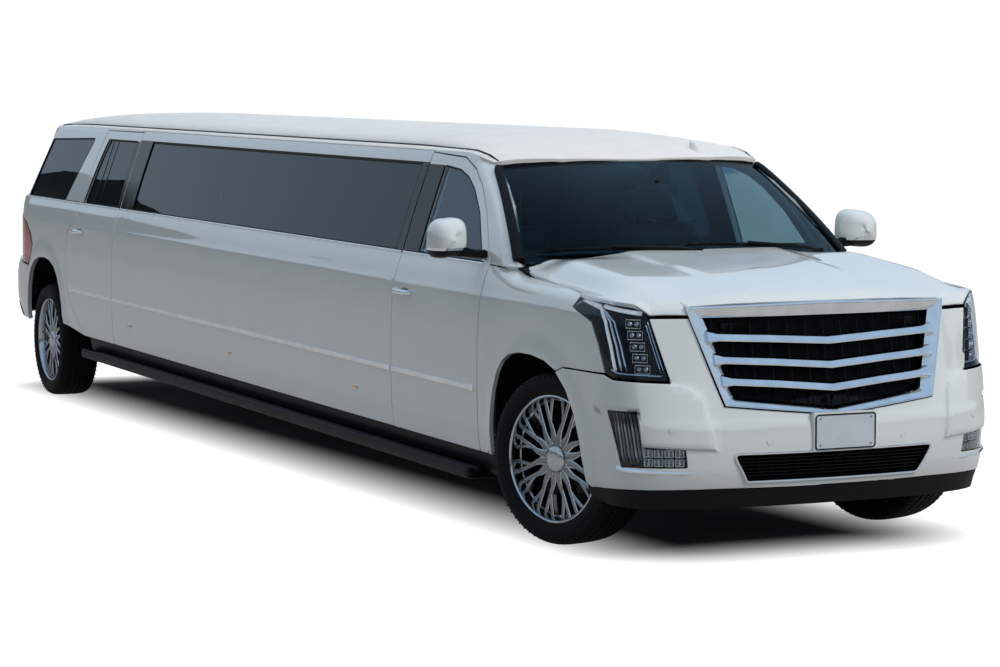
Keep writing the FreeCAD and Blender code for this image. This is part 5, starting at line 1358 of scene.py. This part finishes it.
gateLoop = bothWays(downTo([(0, .843), (.698, .843), (.739, .902), (.745, 1.18), (.697, 1.262), (.652, 1.50),
                            (.609, 1.72), (.557, 1.794), (.50, 1.806), (0, 1.820)]))
gateGlass = bothWays(downTo([(0, 1.275), (.632, 1.275), (.575, 1.48), (.542, 1.68), (0, 1.69)]))
plateWell = bothWays(downTo([(0, 1.010), (.262, 1.010), (.285, 1.180), (0, 1.180)]))
addPiece("gateSkin", skin(gateLoop, gateSurface, .04, (.05, .03), .004, .03, corner=.012, back=1,
         holes=[rounded(gateGlass, .03), rounded(plateWell, .02)]), trimMats, "liftgate_lid", ["liftgate"])
addPiece("gatePane", skin(gateGlass, gateSurface, .005, (.06, .05), .001, out=-.010, grow=.012, corner=.03),
         [sideTint],
         "liftgate_lid", ["liftgate_glass"])
gateBits = skin(plateWell, gateSurface, .004, (.06, .05), .001, out=-.034, grow=.012, corner=.02, slot=1)
gateBits += walls(gateSurface, rounded(shifted(plateWell, .001), .02), -.003, -.034, 1)
gateBits.append(bead(gateSurface, rounded(shifted(gateGlass, .002), .03), .010, .006, 2, True, -.004))
# bright bar over the plate, high stop lamp, wiper
gateBits.append(bead(gateSurface, downTo([(x, 1.200) for x in np.linspace(-.42, .42, 15)]), .030, .014))
gateBits.append(bead(gateSurface, downTo([(-.20, 1.795), (.20, 1.795)]), .018, .006, 3))
spot = on(gateSurface, *downTo([(0, 1.250)])[0], .004)
gateBits.append(turned([(.014, .0003), (.014, .012), (.008, .022), (-.02, .024)], spot, "Y", 24, 2))
blade = [on(gateSurface, *p, .018) for p in downTo([(.02 - .36 * t, 1.265 + .05 * t) for t in np.linspace(0, 1, 9)])]
gateBits += [tube(blade, .006, 6, 2, flat=.8),
             tube([spot, (spot[0] - .03, spot[1] + .016, spot[2] + .012), blade[5]], .007, 6, 2)]
addPiece("gateFittings", gateBits, [chromeTrim, blackPlastic, blackPlastic, lensRed], "liftgate_lid")

# tail lamps: a wide lens round the corner and a tall blade up the edge of the liftgate
lampSide = behind([(8.722, .927), (8.765, .985), (8.905, 1.070), (9.06, 1.106), (9.20, 1.114), (9.30, 1.172),
                   (9.42, 1.245), (9.52, 1.252), (9.56, 1.10), (9.562, .84), (9.30, .806), (9.06, .780),
                   (8.845, .772), (8.745, .842)])
bothSides("tailLens", skin(lampSide, sideSurface, .003, (.03, .03), .002, .02, .001, corner=.012), [lensSmoke],
          replaces=["tail_lights"])
insideParts = skin(lampSide, sideSurface, .004, (.03, .03), .001, .02, -.045, -.003, .012, slot=0)
insideParts += walls(sideSurface, shifted(lampSide, -.004), -.047, -.002)
for k in range(4):
    line = along(behind([(8.80 + k * .02, .90 + k * .045), (9.02, .915 + k * .043), (9.22, .925 + k * .045),
                         (9.44, .94 + k * .05)]), .04)
    insideParts.append(tube([on(sideSurface, y, z, -.018) for y, z in line], .0135, 8, 1, flat=1.2))
for k in range(9):
    c, size = Vector(on(sideSurface, 8.87 + aft + k * .075, .845 + k * .004, -.026)), Vector((.012, .026, .018))
    insideParts.append(block(c - size, c + size, .004, 2))
bothSides("tailInside", insideParts, [glossBlack, lensRed, chromeTrim], slot="red_lamp_lens")
rings, cores = [], []
for xo, z, yo in ((.762, 1.258, 9.395), (.755, 1.30, 9.40), (.724, 1.45, 9.365), (.692, 1.60, 9.325),
                  (.667, 1.705, 9.30), (.648, 1.760, 9.285)):
    gateX = float(np.interp(z, [1.262, 1.50, 1.72, 1.794], [.697, .652, .609, .557])) + .008
    gateY, yo = on(gateSurface, *downTo([(gateX, z)])[0])[1], yo + aft
    ring = np.array([(gateX, gateY + .004, z), ((gateX + xo) / 2, gateY * .6 + yo * .4 + .010, z),
                     (xo + .006, yo + .012, z), (xo + .010, yo - .012, z), (xo, yo - .04, z), (gateX, gateY - .05, z)])
    rings.append(ring)
    cores.append(ring.mean(0) + (ring - ring.mean(0)) * .62 - [0, .002, 0])
bothSides("tailBlade", [loft(rings, back=True)], [lensRed])
bothSides("tailBladeCore", [loft(cores, back=True)], [chromeTrim])

# rear bumper, bent round its own plan
tailPlan = [(0, 9.777), (.30, 9.765), (.56, 9.720), (.72, 9.650), (.84, 9.550), (.915, 9.440), (.965, 9.325),
            (.995, 9.200), (1.014, 9.060), (1.020, 8.900), (1.022, 8.75)]
tailAt, tailRun = curveAlong(tailPlan)
tailTuck = curveThrough([(.34, .050), (.37, .034), (.44, .014), (.50, .004), (.56, 0), (.66, 0), (.74, .008),
                         (.80, .030), (.835, .075)])


def fromTail(points):
    # rows of (y, z) become (length round the plan from the middle, z)
    return [(float(np.interp(-y, [-p[1] for p in tailPlan], tailRun)), z) for y, z in points]


def rearBumperSurface(sz, out=0.0):
    z = sz[:, 1]
    fade = 1 - smooth(-tailAt(np.abs(sz[:, 0]))[:, 1], -9.20, -8.95)
    _, p = bentRound(tailAt, sz, tailTuck(z) * fade + sideInset(z) * (1 - fade) - out)
    return np.stack([p[:, 0] * np.where(sz[:, 0] < 0, -1, 1), p[:, 1] + aft, z], 1)


rearHalf = [(0, .832)] + fromTail([(9.62, .828), (9.30, .796), (9.06, .766), (8.855, .760), (8.85, .70), (8.862, .60),
                                   (8.875, .50), (8.89, .362)]) + [(0, .365)]
addPiece("rearBumperSkin", skin(bothWays(rearHalf), rearBumperSurface, .02, (.05, .025), .003, .03, corner=.01, back=1,
         flip=True, rows=(.66, .70, .74, .77, .80, .82)), [pearlPaint, blackPlastic], replaces=["rear_bumper"])
# black lower band with reflectors, sensors and hitch cover
bandHalf = [(0, .500)] + fromTail([(9.60, .500), (9.25, .455), (9.10, .385), (9.10, .362)]) + [(0, .352)]
band = skin(bothWays(bandHalf), rearBumperSurface, .012, (.05, .025), .003, .03, .004, corner=.006, flip=True, slot=0)
for sign in (1, -1):
    loop = [(sign * s, z) for s, z in box(.60, .74, .560, .590)]
    band += skin(loop, rearBumperSurface, .005, (.03, .01), .002, .01, .004, corner=.01, flip=True, slot=1)
    for s in (.30, .92):
        band.append(turned([(-.004, .0003), (-.002, .011), (.0, .0115)], on(rearBumperSurface, sign * s, .655, .001),
                           "Y", 20, 2))
band += skin(box(-.10, .10, .385, .470), rearBumperSurface, .006, (.03, .02), .003, .02, .008, corner=.012, flip=True,
             slot=0)
band.append(bead(rearBumperSurface, [(s, .508) for s in np.linspace(-.9, .9, 31)], .012, -.006, 3, out=.003))
addPiece("rearBumperBand", band, [blackPlastic, lensRed, pearlPaint, chromeTrim])
rings = []
for s in np.linspace(-.66, .66, 23):
    (x, y, _), (x2, y2, _) = on(rearBumperSurface, s, .826, -.002), on(rearBumperSurface, s, .826, -.045)
    rings.append([(x, y, .828), (x, y, .838), (x2, y2, .841), (x2, y2, .828)])
addPiece("stepPad", [loft(rings), loft(rings, back=True)], [blackPlastic])
print("tail made")


# ---- cabin: trimmed seats, benches and the driver's mirror
def pillow(size, crown, channels=(), pull=.012, n=30, groove=.10):
    # crowned cushion lying flat: sewn round its middle edge, grooves where it is stitched down
    w, d, t = [v / 2 for v in size]
    grid = np.sin(np.linspace(-math.pi / 2, math.pi / 2, n))
    verts, faces, index = [], [], {}
    for side in (1, -1):
        for i, u in enumerate(grid):
            for j, v in enumerate(grid):
                if side < 0 and (i in (0, n - 1) or j in (0, n - 1)):
                    index[side, i, j] = index[1, i, j]
                    continue
                swell = ((1 - abs(u) ** 7) * (1 - abs(v) ** 7)) ** .38
                high = t * swell * (1 + crown * (1 - u * u) * (1 - v * v) * (1 if side > 0 else .3))
                if side > 0:
                    high -= sum(t * groove * math.exp(-((v - c) / .035) ** 2) * swell for c in channels)
                index[side, i, j] = len(verts)
                verts.append((w * u - pull * (1 - v * v) * abs(u) ** 5 * np.sign(u),
                              d * v - pull * (1 - u * u) * abs(v) ** 5 * np.sign(v), side * high))
        for i in range(n - 1):
            for j in range(n - 1):
                face = [index[side, i + a, j + b] for a, b in ((0, 0), (1, 0), (1, 1), (0, 1))]
                faces.append(tuple(face[::side]))
    ring = [(i, 0) for i in range(n)] + [(n - 1, j) for j in range(1, n)] + [(i, n - 1) for i in range(n - 2, -1, -1)]
    ring += [(0, j) for j in range(n - 2, 0, -1)]
    return [(verts, faces, None, 0), tube([verts[index[1, i, j]] for i, j in ring], .0038, 6, closed=True)]


seat = {"half": .4325, "wide": .50, "channels": (-.45, -.05, .35), "backChannels": (-.5, -.15, .2, .55), "fill": .8}
bench = {"from": 2.43, "to": 6.47 + aft, "count": 6, "channels": (-.33, .33)}


def cushion(name, size, crown, channels, centre, tilt=0.0, axis="X", replaces=()):
    turn = Matrix.Translation(centre) @ Matrix.Rotation(math.radians(tilt), 4, axis)
    made = [([turn @ Vector(p) for p in v], f, n, m) for v, f, n, m in pillow(size, crown, channels)]
    addPiece(name, made, [leather], replaces=replaces)


for sign, side in ((1, "left"), (-1, "right")):
    x = sign * seat["half"]
    cushion("frontCushion_" + side, (seat["wide"], .50, .155), .22, seat["channels"], (x, 1.435, .715), 4,
            replaces=["front_seats"] if sign > 0 else ())
    cushion("frontBack_" + side, (seat["wide"] - .03, .70, .135), .25, seat["backChannels"], (x, 1.685, 1.055), 101)
    cushion("frontHeadrest_" + side, (.27, .175, .095), .35, (), (x, 1.755, 1.478), 98)
    base = [block((x - .20, 1.24, .602), (x + .20, 1.62, .645), .012)]
    base += [tube([(x + dx, 1.750, 1.36), (x + dx, 1.757, 1.44)], .006, 10, 1) for dx in (-.06, .06)]
    addPiece("frontSeatBase_" + side, base, [dashPlastic, steelPipe])
for k in range(3):
    x = (k - 1) * .458
    cushion("rearCushion%d" % k, (.452, .56, .16), .22, seat["channels"], (x, 7.735 + aft, .885), 4,
            replaces=["rear_seat"] if k == 0 else ())
    cushion("rearBack%d" % k, (.452, .70, .14), .25, seat["backChannels"], (x, 8.10 + aft, 1.235), 105)
    cushion("rearHeadrest%d" % k, (.27, .165, .09), .35, (), (x, 8.22 + aft, 1.617), 102)
addPiece("rearPlinth", [block((-.69, 7.50 + aft, .742), (.69, 8.24 + aft, .815), .012)], [carpet])
pitch = (bench["to"] - bench["from"]) / bench["count"]
for k in range(bench["count"]):
    y = bench["from"] + pitch * (k + .5)
    cushion("benchCushion%d" % k, (.47, pitch - .006, .155), .22, bench["channels"], (.575, y, .870),
            replaces=["side_bench"] if k == 0 else ())
    cushion("benchBack%d" % k, (.36, pitch - .006, .105), .28, bench["channels"], (.790, y, 1.105), -82, "Y")
addPiece("benchPlinth", [block((.36, bench["from"], .602), (.82, bench["to"], .795), .012),
                         block((.365, bench["from"] + .01, .62), (.352, bench["to"] - .01, .66), .002, 1)],
         [carpet, satinTrim])
# driver's mirror on its stalk behind the screen, and two folded sun visors
cabinBits = [block((-.125, .792, 1.565), (.125, .822, 1.632), .014),
             block((-.118, .8225, 1.571), (.118, .824, 1.626), .004, 1),
             tube([(0, .80, 1.625), (0, .775, 1.655)], .011, 10)]
cabinBits += [block((x - .21, 1.10, 1.742), (x + .21, 1.26, 1.762), .008, 0, Matrix.Rotation(math.radians(-6), 3, "X"))
              for x in (.42, -.42)]
addPiece("cabinMirror", cabinBits, [dashPlastic, mirrorGlass])
print("cabin made")

# ---- studio: floor, horizon for the reflections, lamps and camera
# studio keys for the floor's painted shadow: its reach in metres beyond a box round the vehicle, that box's half
# sizes, and the power with which its glow fades in
studio = {"floor": 180.0, "cells": 24, "paintedShadow": .68, "horizon": 42.0, "trees": 7.3, "sky": 34.0, "mirrored": .32,
          "outline": (.42, 4.65, 0), "fade": 1.7}


def stagePiece(name, verts, faces, material, seen=True):
    data = bpy.data.meshes.new(name)
    data.from_pydata(verts, [], faces)
    data.materials.append(material)
    data.polygons.foreach_set("use_smooth", [True] * len(faces))
    piece = bpy.data.objects.new(name, data)
    bpy.context.scene.collection.objects.link(piece)
    if not seen:
        piece.visible_camera = piece.visible_diffuse = piece.visible_shadow = piece.visible_transmission = False


def calculate(tree, kind, operation, first, second, out=0):
    # one math node; an input is a socket or a plain value
    node = addNode(tree, kind, {"operation": operation})
    for k, value in enumerate((first, second)):
        if hasattr(value, "is_output"):
            tree.links.new(value, node.inputs[k])
        elif value is not None:
            node.inputs[k].default_value = value
    return node.outputs[out]


def whenSeen(tree, mirrored=1.0):
    # 1 for camera and transmission rays, and as much as asked for glossy ones
    rays = addNode(tree, "ShaderNodeLightPath").outputs
    both = calculate(tree, "ShaderNodeMath", "MAXIMUM", rays["Is Camera Ray"], rays["Is Transmission Ray"])
    shine = calculate(tree, "ShaderNodeMath", "MULTIPLY", rays["Is Glossy Ray"], mirrored)
    return calculate(tree, "ShaderNodeMath", "MAXIMUM", both, shine)


floorPaint, tree, shader = newMaterial("matteFloor", {"Base Color": hexColour("7C7C7C"), "Roughness": .95,
                                                      "Specular IOR Level": 0.0})
# painted shadow: the grey floor does not glow inside a box round the vehicle and glows ever whiter over .68 m beyond
# it, measured from the outline of the vehicle, so a dark patch drawn round the vehicle adds to the shadow the lamps
# cast
coords = addNode(tree, "ShaderNodeTexCoord")
away = calculate(tree, "ShaderNodeVectorMath", "ABSOLUTE", coords.outputs["Object"], None)
away = calculate(tree, "ShaderNodeVectorMath", "SUBTRACT", away, studio["outline"])
away = calculate(tree, "ShaderNodeVectorMath", "MAXIMUM", away, (0, 0, 0))
away = calculate(tree, "ShaderNodeVectorMath", "LENGTH", away, None, "Value")
ramp = addNode(tree, "ShaderNodeMapRange", {"From Max": studio["paintedShadow"]}, {"Value": away})
glow = calculate(tree, "ShaderNodeMath", "POWER", ramp.outputs["Result"], studio["fade"])
gate = calculate(tree, "ShaderNodeMath", "MULTIPLY", glow, whenSeen(tree, studio["mirrored"]))
shader.inputs["Emission Color"].default_value = (1, 1, 1, 1)
tree.links.new(gate, shader.inputs["Emission Strength"])
n, size = studio["cells"], studio["floor"]
stagePiece("studioFloor", [((i / n - .5) * size, (j / n - .5) * size, 0) for j in range(n + 1) for i in range(n + 1)],
           [tuple((j + b) * (n + 1) + i + a for a, b in box(0, 1, 0, 1)) for j in range(n) for i in range(n)],
           floorPaint)


def glowMaterial(name, low, high, zLow, zHigh, level):
    # emits a colour that changes with height
    made, tree, shader = newMaterial(name, {"Base Color": (0, 0, 0, 1), "Roughness": 1.0, "Specular IOR Level": 0.0,
                                            "Emission Strength": level})
    coords = addNode(tree, "ShaderNodeTexCoord")
    parts = addNode(tree, "ShaderNodeSeparateXYZ", {}, {"Vector": coords.outputs["Object"]})
    ramp = addNode(tree, "ShaderNodeMapRange", {"From Min": zLow, "From Max": zHigh}, {"Value": parts.outputs["Z"]})
    blend = addNode(tree, "ShaderNodeValToRGB", {}, {"Fac": ramp.outputs["Result"]})
    blend.color_ramp.elements[0].color, blend.color_ramp.elements[1].color = hexColour(low), hexColour(high)
    tree.links.new(blend.outputs["Color"], shader.inputs["Emission Color"])
    return made


# a tree line and a sky that only mirrors see, so that paint, chrome and glass have something to show
bearings = np.linspace(0, 2 * math.pi, 720, False)
hill = [studio["trees"] + .9 * math.sin(a * 9) + .6 * math.sin(a * 24 + 1) + .5 * math.sin(a * 51 + 2)
        + .35 * abs(math.sin(a * 97)) + .3 * math.sin(a * 143 + math.sin(a * 31) * 3) for a in bearings]
n, radius = len(hill), studio["horizon"]
for name, low, high, finish in (
        ("treeLine", [.0] * n, hill, glowMaterial("treeLine", "A9ABA6", "343B3A", 0, 7, .9)),
        ("skyLine", [z - .01 for z in hill], [studio["sky"]] * n,
         glowMaterial("paleSky", "C2D4E6", "A4C2E0", studio["trees"], studio["sky"], 1.0))):
    stagePiece(name, [(radius * math.cos(a), radius * math.sin(a), z) for rim in (low, high) for a, z in
                      zip(bearings, rim)], [(k, n + k, n + (k + 1) % n, (k + 1) % n) for k in range(n)], finish, False)

world = bpy.data.worlds.new("studio")
bpy.context.scene.world = world
world.use_nodes = True
tree = world.node_tree
tree.nodes.clear()
fill, plain, zenith = [addNode(tree, "ShaderNodeBackground", {"Color": colour, "Strength": level}) for colour, level in
                       ((hexColour("DDE6F0"), .50), ((1, 1, 1, 1), 1.0), (hexColour("A8C6E6"), 1.0))]
# white to the camera, a deep blue to mirrors above the rings, a soft fill to everything else
glossy = addNode(tree, "ShaderNodeLightPath").outputs["Is Glossy Ray"]
last = fill
for chance, other in ((whenSeen(tree), plain), (glossy, zenith)):
    mix = addNode(tree, "ShaderNodeMixShader", {}, {"Fac": chance})
    tree.links.new(last.outputs[0], mix.inputs[1])
    tree.links.new(other.outputs[0], mix.inputs[2])
    last = mix
addNode(tree, "ShaderNodeOutputWorld", {}, {"Surface": last.outputs[0]})

lamps = {"key": ((7, -17, 11), 7.0, 1680, "FFF8F0"), "top": ((1, 0, 13), 14.0, 620, "F6F9FF"),
         "rear": ((6, 15, 9), 7.0, 350, "F6F9FF")}
for name, (spot, size, power, tone) in lamps.items():
    data = bpy.data.lights.new(name, "AREA")
    data.shape, data.size, data.energy, data.color = "DISK", size, power, hexColour(tone)[:3]
    lamp = bpy.data.objects.new(name, data)
    bpy.context.scene.collection.objects.link(lamp)
    lamp.location = spot
    lamp.visible_glossy = False
    lamp.rotation_euler = (Vector((0, 0, .8)) - Vector(spot)).to_track_quat("-Z", "Y").to_euler()

view = {"at": (-6.775, -12.245, 1.975), "yaw": math.radians(24.437), "pitch": math.radians(4.182),
        "roll": math.radians(-.324), "lens": 105.3}
data = bpy.data.cameras.new("mainView")
data.sensor_width, data.lens, data.clip_end = 36.0, view["lens"], 400
camera = bpy.data.objects.new("mainView", data)
bpy.context.scene.collection.objects.link(camera)
sy, cy, sp, cp = math.sin(view["yaw"]), math.cos(view["yaw"]), math.sin(view["pitch"]), math.cos(view["pitch"])
ahead, level = Vector((sy * cp, cy * cp, -sp)), Vector((cy, -sy, 0))
lift = level.cross(ahead)
cr, sr = math.cos(view["roll"]), math.sin(view["roll"])
right, up = level * cr + lift * sr, lift * cr - level * sr
camera.matrix_world = Matrix(((right.x, up.x, -ahead.x, view["at"][0]),
                              (right.y, up.y, -ahead.y, view["at"][1] + axleY),
                              (right.z, up.z, -ahead.z, view["at"][2]), (0, 0, 0, 1)))
bpy.context.scene.camera = camera
bpy.context.scene.view_settings.view_transform = "Standard"
print("studio made")
